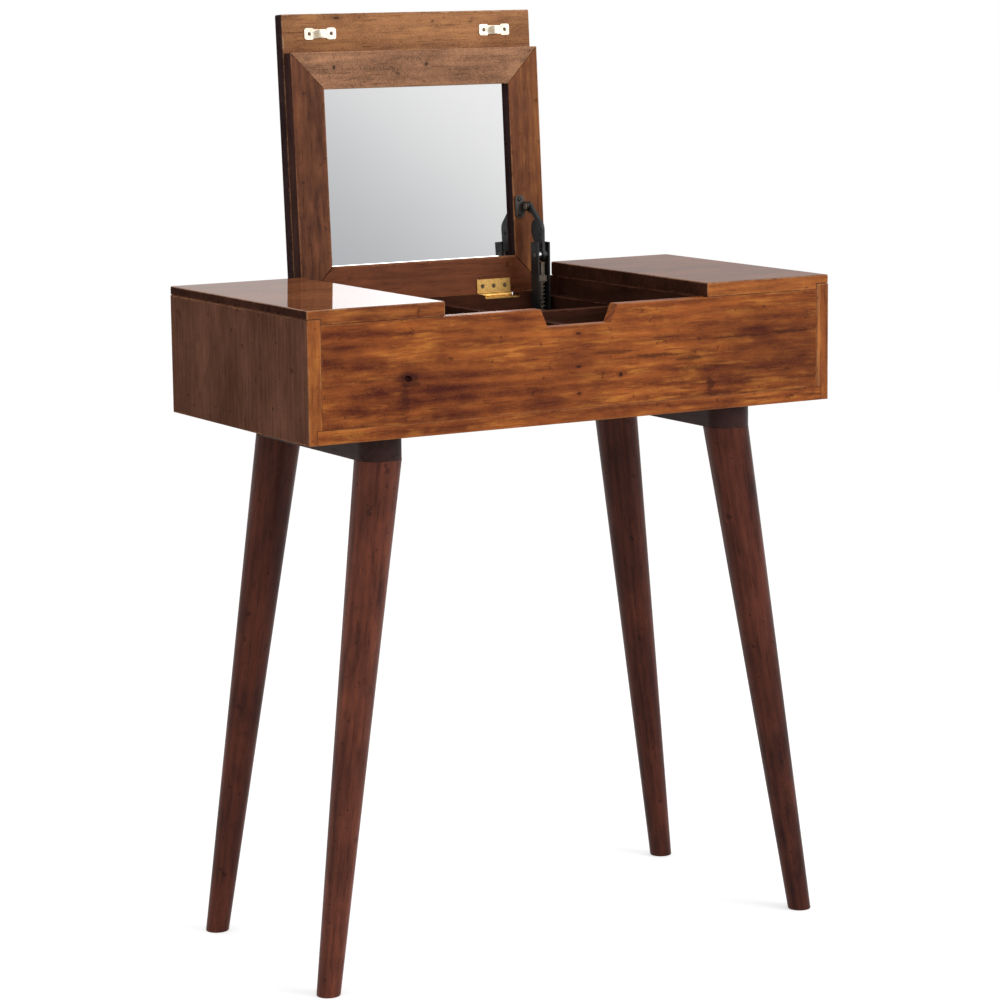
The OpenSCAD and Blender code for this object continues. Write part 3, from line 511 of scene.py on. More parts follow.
@dataclass(frozen=True)
class MetalFinish:
    """A metal or a coated metal.

    Args:
        slot: the record's material slot; not used.
        bright: its clean colour.
        dull: the colour of its dull spots.
        metallic: 1 for bare metal, 0 for a coating.
        rough: its roughness.
        scratch: the strength of its scratches.
        relief: the depth of its dull spots, in metres.
    """

    slot: str
    bright: Triple
    dull: Triple
    metallic: float = 1.0
    rough: float = 0.3
    scratch: float = 0.35
    relief: float = 0.000006

    def dress(self, name: str, seed: float) -> bpy.types.Material:
        """Makes the material for one kind of piece.

        Args:
            name: the material's name.
            seed: its own number.

        Returns:
            The material.
        """
        coat = Coat(name, Lay(Vector(), Matrix.Identity(3), Vector((1, 1, 1)), seed))
        g = coat.graph
        use = g.place(SCUFFS, Vector=coat.own, Seed=seed)
        colour = g.blend(g.times(use["Dull"], 0.6), self.bright, self.dull)
        pale = tuple(min(1.0, c * 1.25 + 0.04) for c in self.bright)
        rough = g.math("ADD", g.times(use["Dull"], 0.18), self.rough)
        return coat.finish({
            "Base Color": g.blend(g.times(use["Scratch"], self.scratch), colour, pale),
            "Roughness": g.math("SUBTRACT", rough, g.times(use["Scratch"], 0.06)),
            "Metallic": self.metallic,
        }, use["Dull"], self.relief)


FRONT_WOOD = WoodFinish(
    "front_wood", (0.075, 0.011, 0.005), (0.475, 0.130, 0.027), (0.48, 0.20, 0.07),
    ripple=0.4, rings=0.22, fleck=0.5, glow=0.6, worn_share=0.2)
EDGE_WOOD = WoodFinish(
    "front_wood", (0.105, 0.020, 0.007), (0.50, 0.155, 0.036), (0.55, 0.26, 0.10),
    rings=0.2, fleck=0.4, glow=0.4, worn_share=0.4)
TOP_WOOD = WoodFinish(
    "front_wood", (0.16, 0.050, 0.022), (0.36, 0.130, 0.050), (0.45, 0.22, 0.10),
    rough=0.35, gloss=0.5, coat_rough=0.05, sheen=0.0, rings=0.15)
# A darker copy of the top board's wood, for the right wing, which shows less reflected light: painted
# shade.
PAINTED_SHADE_TOP_WOOD = WoodFinish(
    "front_wood", (0.12, 0.038, 0.018), (0.29, 0.105, 0.044), (0.40, 0.19, 0.09),
    rough=0.35, gloss=0.34, coat_rough=0.08, sheen=0.0, rings=0.15)
END_WOOD = WoodFinish(
    "side_wood", (0.028, 0.011, 0.008), (0.085, 0.036, 0.024), (0.20, 0.09, 0.05),
    sheen=0.0, rings=0.1, worn_share=0.3)
SIDE_WOOD = WoodFinish(
    "side_wood", (0.075, 0.030, 0.018), (0.215, 0.096, 0.062), (0.34, 0.16, 0.08),
    rough=0.5, sheen=0.0, rings=0.1, streak=0.3, fleck=0.4)
BACK_WOOD = WoodFinish(
    "side_wood", (0.040, 0.014, 0.009), (0.11, 0.038, 0.022), (0.20, 0.08, 0.04),
    rough=0.5, sheen=0.0)
INNER_WOOD = WoodFinish(
    "inner_wood", (0.030, 0.011, 0.007), (0.085, 0.032, 0.019), (0.16, 0.06, 0.035),
    rough=0.4, gloss=0.06, sheen=0.0)
LEG_WOOD = WoodFinish(
    "leg_wood", (0.036, 0.009, 0.007), (0.245, 0.067, 0.035), (0.22, 0.08, 0.05),
    rough=0.36, gloss=0.15, coat_rough=0.3, sheen=0.05, rings=0.15)
# A darker copy of the leg wood for all legs but the front left one: painted shade.
PAINTED_SHADE_LEG_WOOD = WoodFinish(
    "leg_wood", (0.024, 0.006, 0.005), (0.150, 0.040, 0.023), (0.20, 0.07, 0.045),
    rough=0.36, gloss=0.1, coat_rough=0.3, sheen=0.05, rings=0.15)
CLEAT_WOOD = WoodFinish(
    "leg_wood", (0.022, 0.009, 0.008), (0.060, 0.026, 0.021), (0.14, 0.05, 0.03),
    rough=0.45)
STRIP_WOOD = WoodFinish(
    "lid_wood", (0.10, 0.034, 0.013), (0.53, 0.230, 0.090), (0.66, 0.42, 0.26),
    streak=0.4, fleck=1.5, glow=0.45, gold=(0.62, 0.30, 0.10))
LID_TOP_WOOD = WoodFinish(
    "lid_wood", (0.14, 0.044, 0.020), (0.33, 0.118, 0.047), (0.42, 0.20, 0.09),
    rough=0.35, gloss=0.4, coat_rough=0.06, sheen=0.0)
RAIL_WOOD = WoodFinish(
    "lid_wood", (0.085, 0.035, 0.016), (0.58, 0.280, 0.145), (0.50, 0.27, 0.14),
    rings=0.1, streak=0.3, fleck=1.5, worn_share=0.3, glow=0.3, gold=(0.56, 0.28, 0.12))
LEFT_WOOD = WoodFinish(
    "lid_wood", (0.050, 0.015, 0.008), (0.36, 0.125, 0.054), (0.38, 0.16, 0.08),
    glow=0.3, gold=(0.38, 0.15, 0.055))
RIGHT_WOOD = WoodFinish(
    "lid_wood", (0.090, 0.024, 0.010), (0.31, 0.105, 0.033), (0.45, 0.21, 0.09),
    glow=0.6, gold=(0.46, 0.19, 0.050))
SILL_WOOD = WoodFinish("lid_wood", (0.098, 0.027, 0.012), (0.28, 0.084, 0.032), (0.42, 0.18, 0.08))
# The next two are darker copies of the lid's wood for faces that look left, away from the key lamp: painted
# shade. The first is browner, the second greyer.
PAINTED_SHADE_BROWN_WOOD = WoodFinish(
    "lid_wood", (0.034, 0.016, 0.014), (0.105, 0.050, 0.042), (0.15, 0.07, 0.04),
    sheen=0.0)
PAINTED_SHADE_GREY_WOOD = WoodFinish(
    "lid_wood", (0.022, 0.012, 0.014), (0.070, 0.038, 0.036), (0.15, 0.07, 0.04),
    sheen=0.0)
BRASS = MetalFinish("brass", (0.66, 0.40, 0.125), (0.40, 0.225, 0.06), rough=0.36, scratch=0.2)
PALE_BRASS = MetalFinish(
    "brass", (0.88, 0.82, 0.70), (0.72, 0.62, 0.46),
    metallic=0.5, rough=0.42, scratch=0.2)
SCREW_BRASS = MetalFinish(
    "brass", (0.13, 0.085, 0.045), (0.06, 0.04, 0.02),
    metallic=0.6, rough=0.5, scratch=0.3)
BLACK_STEEL = MetalFinish(
    "dark_steel", (0.011, 0.011, 0.012), (0.018, 0.017, 0.016),
    metallic=0.2, rough=0.45, scratch=0.10)
BRONZED_STEEL = MetalFinish(
    "dark_steel", (0.050, 0.042, 0.036), (0.030, 0.026, 0.024),
    metallic=0.6, rough=0.4)
ZINC = MetalFinish("zinc_steel", (0.60, 0.61, 0.63), (0.40, 0.40, 0.41), rough=0.3)
OILED_STEEL = MetalFinish("zinc_steel", (0.20, 0.16, 0.12), (0.10, 0.08, 0.065), metallic=0.5, rough=0.55)


# ---- The bench: modelling steps that the pieces share ----


class Bench:
    """Modelling steps, each of which leaves one selected object in object mode.

    The angles say what counts as an outward arris, as a corner of a solid, as a smooth turn and as
    a flat joint. Corners within the weld are one.
    """

    ARRIS = math.radians(25)
    CORNER = math.radians(35)
    SMOOTH = math.radians(32)
    FLAT = math.radians(0.5)
    WELD = 0.000002

    @staticmethod
    def clear() -> None:
        """Leaves edit mode and deselects everything."""
        if bpy.context.object and bpy.context.object.mode != "OBJECT":
            bpy.ops.object.mode_set(mode="OBJECT")
        bpy.ops.object.select_all(action="DESELECT")

    @staticmethod
    def take(piece: bpy.types.Object) -> None:
        """Selects one piece alone and makes it active.

        Args:
            piece: the piece.
        """
        Bench.clear()
        piece.select_set(True)
        bpy.context.view_layer.objects.active = piece

    @staticmethod
    def added(name: str) -> bpy.types.Object:
        """Names the primitive just added, with its place in its mesh.

        Args:
            name: the piece's name.

        Returns:
            The piece.
        """
        piece = bpy.context.object
        piece.name = piece.data.name = name
        bpy.ops.object.transform_apply(location=True, rotation=True, scale=True)
        return piece

    @staticmethod
    def block(name: str, low: Vector, high: Vector) -> bpy.types.Object:
        """A plain block to start from.

        Args:
            name: the piece's name.
            low: its lowest corner.
            high: its highest corner.

        Returns:
            The block.
        """
        Bench.clear()
        bpy.ops.mesh.primitive_cube_add(size=1, location=(low + high) / 2)
        bpy.context.object.scale = high - low
        return Bench.added(name)

    @staticmethod
    def edit(piece: bpy.types.Object, mode: str, every: bool = False) -> bmesh.types.BMesh:
        """Opens a piece in edit mode.

        Args:
            piece: the piece.
            mode: VERT, EDGE or FACE.
            every: whether all of it is selected, or nothing.

        Returns:
            Its editable mesh.
        """
        Bench.take(piece)
        bpy.ops.object.mode_set(mode="EDIT")
        bpy.ops.mesh.select_mode(type=mode)
        bpy.ops.mesh.select_all(action="SELECT" if every else "DESELECT")
        return bmesh.from_edit_mesh(piece.data)

    @staticmethod
    def prism(name: str, outline: Outline, run: Run, start: float, end: float) -> bpy.types.Object:
        """Sets out an outline corner by corner, and extrudes it.

        Args:
            name: the piece's name.
            outline: its corners: (Y, Z), (X, Z) or (X, Y) for a run along X, Y or Z.
            run: the way it is extruded.
            start: where it begins along that way.
            end: where it ends.

        Returns:
            The piece.
        """
        axis = "xyz".index(run.value)
        Bench.clear()
        bpy.ops.mesh.primitive_circle_add(vertices=len(outline), radius=0.01, fill_type="NGON")
        piece = Bench.added(name)
        Bench.edit(piece, "VERT")
        for index, corner in enumerate(outline):
            mesh = bmesh.from_edit_mesh(piece.data)
            mesh.verts.ensure_lookup_table()
            goal = [*corner]
            goal.insert(axis, start)
            bpy.ops.mesh.select_all(action="DESELECT")
            mesh.verts[index].select_set(True)
            bmesh.update_edit_mesh(piece.data)
            bpy.ops.transform.translate(value=Vector(goal) - mesh.verts[index].co)
        way = Vector()
        way[axis] = end - start
        bpy.ops.mesh.select_mode(type="FACE")
        bpy.ops.mesh.select_all(action="SELECT")
        bpy.ops.mesh.extrude_region_move(TRANSFORM_OT_translate={"value": way})
        bpy.ops.mesh.select_all(action="SELECT")
        bpy.ops.mesh.normals_make_consistent(inside=False)
        Bench.clear()
        return piece

    @staticmethod
    def ease(piece: bpy.types.Object, width: float, segments: int = 3,
             pick: Callable[[Vector], bool] = lambda middle: True) -> None:
        """Rounds the outward arrises of a piece.

        Args:
            piece: the piece.
            width: the width of the rounding.
            segments: its facets.
            pick: says which arrises, by their middle.
        """
        mesh = Bench.edit(piece, "EDGE")
        for edge in mesh.edges:
            if len(edge.link_faces) == 2 and edge.calc_face_angle_signed() > Bench.ARRIS:
                if pick((edge.verts[0].co + edge.verts[1].co) / 2):
                    edge.select_set(True)
        bmesh.update_edit_mesh(piece.data)
        bpy.ops.mesh.bevel(offset=width, segments=segments, profile=0.5, affect="EDGES")

    @staticmethod
    def saw(piece: bpy.types.Object, at: Vector, away: Vector) -> None:
        """Saws a piece through a point, closes the cut and drops the side that away points to."""
        Bench.edit(piece, "FACE", every=True)
        bpy.ops.mesh.bisect(plane_co=at, plane_no=away, use_fill=True, clear_outer=True)

    @staticmethod
    def turn(piece: bpy.types.Object, angle: float, about: Vector) -> None:
        """Turns a piece by the right-hand rule about an axis along X through a point."""
        Bench.edit(piece, "VERT", every=True)
        bpy.ops.transform.rotate(value=-angle, orient_axis="X", orient_type="GLOBAL", center_override=about)

    @staticmethod
    def apply(piece: bpy.types.Object, kind: str, **settings: object) -> None:
        """Adds a modifier and applies it.

        Args:
            piece: the piece.
            kind: the modifier's type.
            **settings: its settings.
        """
        Bench.take(piece)
        modifier = piece.modifiers.new(kind.lower(), kind)
        for name, value in settings.items():
            setattr(modifier, name, value)
        bpy.ops.object.modifier_apply(modifier=modifier.name)

    @staticmethod
    def smooth(piece: bpy.types.Object) -> None:
        """Shades a piece smooth except at its arrises, and keeps its broad faces level.

        Args:
            piece: the piece.
        """
        Bench.take(piece)
        bpy.ops.object.shade_smooth_by_angle(angle=Bench.SMOOTH)
        Bench.apply(piece, "WEIGHTED_NORMAL", keep_sharp=True)

    @staticmethod
    def softened(name: str, node: str, width: float) -> bpy.types.Object:
        """A copy of a solid with its corners rounded.

        Args:
            name: the copy's name.
            node: the solid's node.
            width: the width of the rounding.

        Returns:
            The copy.
        """
        Bench.take(frame["nodes"][node])
        bpy.ops.object.duplicate()
        piece = bpy.context.object
        piece.parent = None
        for key in list(piece.keys()):
            del piece[key]
        piece.data = piece.data.copy()
        piece.name = piece.data.name = name
        Bench.edit(piece, "VERT", every=True)
        bpy.ops.mesh.remove_doubles(threshold=Bench.WELD)
        bpy.ops.mesh.dissolve_limited(angle_limit=Bench.FLAT)
        Bench.apply(piece, "BEVEL", width=width, segments=2, limit_method="ANGLE",
                    angle_limit=Bench.CORNER, use_clamp_overlap=True)
        return piece


def settle(piece: bpy.types.Object, material: bpy.types.Material, node: str,
           smooth: bool = True) -> None:
    """Shades and dresses a finished piece, lets it stand for its node and ride on its body.

    Args:
        piece: the piece.
        material: its material.
        node: the node that it stands for.
        smooth: whether it is shaded smooth between its arrises.
    """
    if smooth:
        Bench.smooth(piece)
    Bench.clear()
    piece.data.materials.clear()
    piece.data.materials.append(material)
    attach(piece, BODIES[node])
    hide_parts(node)
    log.info("%s stands for %s on %s, %d faces, %d open edges", piece.name, node, BODIES[node],
             len(piece.data.polygons), open_edges(piece))


def edge_on(piece: bpy.types.Object, material: bpy.types.Material, way: Vector,
            reach: float = 0.75) -> None:
    """Gives the faces of a dressed piece that look one way another material.

    Args:
        piece: the piece.
        material: the material.
        way: the way those faces look.
        reach: the cosine of how far off that way a face may look.
    """
    piece.data.materials.append(material)
    last = len(piece.data.materials) - 1
    for face in piece.data.polygons:
        if face.normal.dot(way) > reach:
            face.material_index = last


def open_edges(piece: bpy.types.Object) -> int:
    """Counts a mesh's open edges.

    Args:
        piece: the piece.

    Returns:
        How many edges don't join exactly two faces.
    """
    mesh = bmesh.new()
    mesh.from_mesh(piece.data)
    count = sum(1 for edge in mesh.edges if len(edge.link_faces) != 2)
    mesh.free()
    return count


def repaint(node: str, material: bpy.types.Material) -> None:
    """Gives a solid that stays as it is its material.

    Args:
        node: the node.
        material: the material.
    """
    solid = frame["nodes"][node]
    solid.data.materials.clear()
    solid.data.materials.append(material)
    log.info("%s keeps its solid, in %s", node, material.name)


@dataclass
class Case:
    """The case: its outer boards, wing tops and what stands inside it. Sizes are in metres."""

    board: float = 0.017
    bottom: float = 0.016
    lap: float = 0.0065
    worn_inset: float = 0.0035
    notch_mouth: float = 0.103
    notch_floor: float = 0.085
    notch_depth: float = 0.021
    rest: float = 0.115
    recess_gap: float = 0.001
    rest_close: float = 0.0012
    ease: float = 0.0008
    top_ease: float = 0.0018
    knot: Triple = (-0.2245, 0.0, 0.0665)
    knot_size: Triple = (0.0048, 0.004, 0.0032)
    knot_tilt: float = math.radians(25)
    inside_ease: float = 0.0004

    def __post_init__(self) -> None:
        """Reads the case's outer sizes off its solids."""
        self.low, self.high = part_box("bottom_panel")
        self.front, self.back = self.low.y, self.high.y
        self.under = self.low.z
        side_low, side_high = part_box("left_side_panel")
        self.half = -side_low.x
        self.side_top = side_high.z
        self.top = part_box("left_wing_top")[1].z
        self.opening = -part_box("left_wing_top")[1].x
        self.back_top = self.under + self.rest

    def side_board(self, side: Side) -> None:
        """An end board, rabbeted below for the bottom board.

        Args:
            side: which end.
        """
        s = side.value
        outer, inner = s * self.half, s * (self.half - self.board)
        lap = inner + s * self.lap
        floor = self.under + self.bottom
        outline = [(outer, self.under), (lap, self.under), (lap, floor), (inner, floor),
                   (inner, self.side_top), (outer, self.side_top)]
        node = f"{side.word}_side_panel"
        piece = Bench.prism(f"{side.word}_end_board", outline, Run.DEEP, self.front, self.back)
        Bench.ease(piece, self.ease)
        lay = Lay.of_box(*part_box(node), Run.UPRIGHT, 11 if side is Side.LEFT else 12)
        settle(piece, SIDE_WOOD.dress(lay, self.staves(lay, s)), node)
        edge = self.worn_line(lay) if side is Side.RIGHT else ()
        edge_on(piece, EDGE_WOOD.dress(lay, edge, "end_board_front"), Vector((0, -1, 0)))

    def staves(self, lay: Lay, s: int) -> list[Mark]:
        """The pale joint lines between the staves of an end board.

        Args:
            lay: where the board lies.
            s: -1 or 1 for the left or right end.

        Returns:
            The marks, in the board's own coordinates.
        """
        start = self.front - lay.centre.y
        joints = ((0.0725, 0.0012, 0.5), (0.190, 0.0010, 0.3), (0.278, 0.0022, 0.6))
        return [Mark((0, start + deep, s * lay.half.z), (1, wide, 0.01), strong, 0.5, pale=True)
                for deep, wide, strong in joints]

    def worn_line(self, lay: Lay) -> list[Mark]:
        """The line worn pale down the front edge of the right end board."""
        across = lay.centre.x - self.half + self.board - self.worn_inset
        return [Mark((0.006, self.front - lay.centre.y, across), (0.05, 0.01, 0.0009), 0.8, 0.8, pale=True)]

    def wing(self, side: Side) -> None:
        """A fixed top board that laps over its end board.

        Args:
            side: which end.
        """
        s = side.value
        outer, inner, mouth = s * self.half, s * (self.half - self.board), s * self.opening
        outline = [(outer, self.side_top), (inner, self.side_top), (inner, self.top - self.board),
                   (mouth, self.top - self.board), (mouth, self.top), (outer, self.top)]
        node = f"{side.word}_wing_top"
        piece = Bench.prism(f"{side.word}_top_board", outline, Run.DEEP, self.front, self.back)
        Bench.ease(piece, self.top_ease)
        lay = Lay.of_box(*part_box(node), Run.ACROSS, 21 if side is Side.LEFT else 22)
        # The right wing takes the darker copy: painted shade.
        finish = TOP_WOOD if side is Side.LEFT else PAINTED_SHADE_TOP_WOOD
        settle(piece, finish.dress(lay), node)
        edge_on(piece, EDGE_WOOD.dress(lay, name="top_board_front"), Vector((0, -1, 0)))
        edge_on(piece, END_WOOD.dress(lay, name="top_board_end"), Vector((s, 0, 0)))
        edge_on(piece, INNER_WOOD.dress(lay, name="top_board_mouth"), Vector((-s, 0, 0)))

    def front_board(self) -> None:
        """The front board with its finger notch and its knot hole."""
        edge, floor, top = self.half - self.board, self.under + self.bottom, self.top - self.board
        mouth, notch = self.notch_mouth / 2, self.notch_floor / 2
        sill = top - self.notch_depth
        outline = [(-edge, floor), (edge, floor), (edge, top), (mouth, top), (notch, sill),
                   (-notch, sill), (-mouth, top), (-edge, top)]
        piece = Bench.prism("front_board", outline, Run.DEEP, self.front, self.front + self.board)
        Bench.ease(piece, self.ease)
        hole = Vector(self.knot) + Vector((0, self.front, self.under))
        Bench.clear()
        bpy.ops.mesh.primitive_ico_sphere_add(subdivisions=3, radius=1, location=hole,
                                              rotation=(0, self.knot_tilt, 0))
        cutter = bpy.context.object
        cutter.scale = self.knot_size
        Bench.apply(piece, "BOOLEAN", operation="DIFFERENCE", object=cutter, solver="EXACT")
        bpy.data.objects.remove(cutter)
        lay = Lay.of_box(*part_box("front_panel"), Run.ACROSS, 31)
        settle(piece, FRONT_WOOD.dress(lay, self.front_marks(lay)), "front_panel")

    def front_marks(self, lay: Lay) -> list[Mark]:
        """The knots and streaks of the front board, and a broad patch of painted shade over its right part.

        Args:
            lay: where the board lies.

        Returns:
            The marks, in the board's own coordinates.
        """
        face = self.front - lay.centre.y

        def spot(x: float, up: float, wide: float, tall: float, dark: float, rag: float = 1.2) -> Mark:
            """A mark at X, at a height above the case's underside."""
            return Mark((x, face, self.under + up - lay.centre.z), (wide, 0.012, tall), dark, rag)

        return [
            spot(-0.2245, 0.0665, 0.0060, 0.0045, 1.0, 0.8),
            spot(-0.2235, 0.0640, 0.016, 0.012, 0.55),
            spot(-0.2290, 0.040, 0.007, 0.026, 0.35, 2.0),
            spot(-0.0015, 0.1023, 0.0045, 0.0018, 0.75),
            spot(-0.0015, 0.0642, 0.0045, 0.0020, 0.8),
            spot(0.0556, 0.0509, 0.0035, 0.0030, 0.85),
            spot(-0.0015, 0.0330, 0.0040, 0.0022, 0.7),
            spot(0.045, 0.0775, 0.034, 0.0028, 0.5, 2.0),
            spot(0.103, 0.0700, 0.034, 0.0030, 0.6, 2.0),
            spot(0.150, 0.0625, 0.022, 0.0022, 0.45, 2.0),
            spot(0.225, 0.0845, 0.050, 0.0022, 0.4, 2.2),
            spot(0.290, 0.0860, 0.035, 0.0026, 0.5, 2.2),
            spot(0.180, 0.0300, 0.006, 0.011, 0.6, 2.0),
            spot(0.190, 0.0200, 0.018, 0.004, 0.35, 2.0),
            # The last spot, broad and faint over the board's right part, is painted shade: it darkens that
            # end as the light falls off.
            spot(0.270, 0.0700, 0.150, 0.070, 0.22, 0.6),
        ]

    def back_board(self) -> None:
        """The back board, lowered between the wings for the hinges."""
        edge, floor, top = self.half - self.board, self.under + self.bottom, self.top - self.board
        mouth = self.opening - self.rest_close
        outline = [(-edge, floor), (edge, floor), (edge, top), (mouth, top), (mouth, self.back_top)]
        for hinge in ("right_hinge_case_leaf", "left_hinge_case_leaf"):
            low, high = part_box(hinge)
            for x, level in ((high.x + self.recess_gap, low.z), (low.x - self.recess_gap, self.back_top)):
                outline += [(x, self.back_top + low.z - level), (x, level)]
        outline += [(-mouth, self.back_top), (-mouth, top), (-edge, top)]
        piece = Bench.prism("back_board", outline, Run.DEEP, self.back - self.board, self.back)
        Bench.ease(piece, self.ease, pick=lambda middle: abs(middle.z - self.back_top) > self.board / 2)
        lay = Lay.of_box(*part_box("back_panel"), Run.ACROSS, 32)
        settle(piece, BACK_WOOD.dress(lay), "back_panel")

    def bottom_board(self) -> None:
        """The bottom board, whose front edge shows under the front board."""
        piece = Bench.block("bottom_board", self.low, self.high)
        Bench.ease(piece, self.ease)
        lay = Lay.of_box(self.low, self.high, Run.ACROSS, 33)
        settle(piece, BACK_WOOD.dress(lay), "bottom_panel")
        edge_on(piece, FRONT_WOOD.dress(lay, name="bottom_board_front"), Vector((0, -1, 0)), reach=0.3)

    def inside(self) -> None:
        """The partitions, ledges, dividers and catch blocks."""
        nodes = ("left_partition", "right_partition", "left_ledge", "right_ledge", "centre_divider",
                 "cross_divider", "left_catch_block", "right_catch_block")
        for seed, node in enumerate(nodes, 41):
            low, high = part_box(node)
            run = Run.ACROSS if high.x - low.x > high.y - low.y else Run.DEEP
            piece = Bench.softened(f"{node}_board", node, self.inside_ease)
            settle(piece, INNER_WOOD.dress(Lay.of_box(low, high, run, seed)), node)

    def build(self) -> None:
        """Builds and dresses the case."""
        for side in Side:
            self.side_board(side)
            self.wing(side)
        self.front_board()
        self.back_board()
        self.bottom_board()
        self.inside()


@dataclass
class Legs:
    """The four tapered legs, and the two cleats that carry them. Sizes are in metres."""

    top_radius: float = 0.027
    foot_radius: float = 0.0138
    top_inset: tuple[float, float] = (0.113, 0.052)
    front_foot_inset: tuple[float, float] = (0.0224, 0.0245)
    back_foot_inset: tuple[float, float] = (0.0284, 0.0245)
    foot_chamfer: float = 0.0014
    cleat_ease: float = 0.0006
    spare: float = 0.012
    facets: int = 72
    cleat_facets: int = 48

    def __post_init__(self) -> None:
        """Reads the case's and the cleats' sizes off their solids."""
        side_low, side_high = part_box("left_side_panel")
        self.half, self.front, self.back = -side_low.x, side_low.y, side_high.y
        self.cleat_low, self.cleat_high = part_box("left_cleat")

    def leg(self, side: Side, fore: bool, seed: float) -> None:
        """A leg: a long cone, sawn level at its cleat and at the floor.

        Args:
            side: which end it is at.
            fore: whether it is a front leg.
            seed: its own number.
        """
        wall, inward = (self.front, 1) if fore else (self.back, -1)
        s = side.value
        x, y = self.top_inset
        top = Vector((s * (self.half - x), wall + inward * y, self.cleat_low.z))
        x, y = self.front_foot_inset if fore else self.back_foot_inset
        foot = Vector((s * (self.half - x), wall + inward * y, 0))
        way = top - foot
        slope = (self.top_radius - self.foot_radius) / way.length
        node = f"{'front' if fore else 'back'}_{side.word}_leg"
        Bench.clear()
        bpy.ops.mesh.primitive_cone_add(
            vertices=self.facets, radius1=self.foot_radius - self.spare * slope,
            radius2=self.top_radius + self.spare * slope, depth=way.length + 2 * self.spare,
            location=(top + foot) / 2, rotation=way.to_track_quat("Z", "Y").to_euler())
        piece = Bench.added(f"turned_{node}")
        Bench.saw(piece, top, Vector((0, 0, 1)))
        Bench.saw(piece, foot, Vector((0, 0, -1)))
        Bench.ease(piece, self.foot_chamfer, 2, lambda middle: middle.z < self.foot_chamfer / 2)
        turn = way.to_track_quat("X", "Z").to_matrix()
        lay = Lay((top + foot) / 2, turn, Vector((way.length / 2, 1, 1)), seed)
        # Only the front left leg keeps the plain leg wood; the others take the darker copy, painted shade.
        finish = LEG_WOOD if fore and side is Side.LEFT else PAINTED_SHADE_LEG_WOOD
        settle(piece, finish.dress(lay), node)

    def cleat(self, side: Side, seed: float) -> None:
        """A cleat with round ends: a disc whose back half is drawn out.

        Args:
            side: which end it is at.
            seed: its own number.
        """
        node = f"{side.word}_cleat"
        low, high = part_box(node)
        middle = Vector(((low.x + high.x) / 2, self.front + self.top_inset[1], (low.z + high.z) / 2))
        Bench.clear()
        bpy.ops.mesh.primitive_cylinder_add(vertices=self.cleat_facets, radius=self.top_radius,
                                            depth=high.z - low.z, location=middle,
                                            rotation=(0, 0, math.pi / self.cleat_facets))
        piece = Bench.added(f"round_ended_{node}")
        mesh = Bench.edit(piece, "VERT")
        for corner in mesh.verts:
            corner.select_set(corner.co.y > middle.y)
        bmesh.update_edit_mesh(piece.data)
        bpy.ops.transform.translate(value=(0, self.back - self.front - 2 * self.top_inset[1], 0))
        Bench.ease(piece, self.cleat_ease, 2)
        settle(piece, CLEAT_WOOD.dress(Lay.of_box(low, high, Run.DEEP, seed)), node)

    def build(self) -> None:
        """Builds and dresses the legs and cleats."""
        for side, seed in ((Side.LEFT, 51), (Side.RIGHT, 53)):
            self.cleat(side, seed + 10)
            self.leg(side, True, seed)
            self.leg(side, False, seed + 1)
        for node in ("cleat_screws", "leg_bolts"):
            repaint(node, ZINC.dress(f"{node}_zinc", 5))


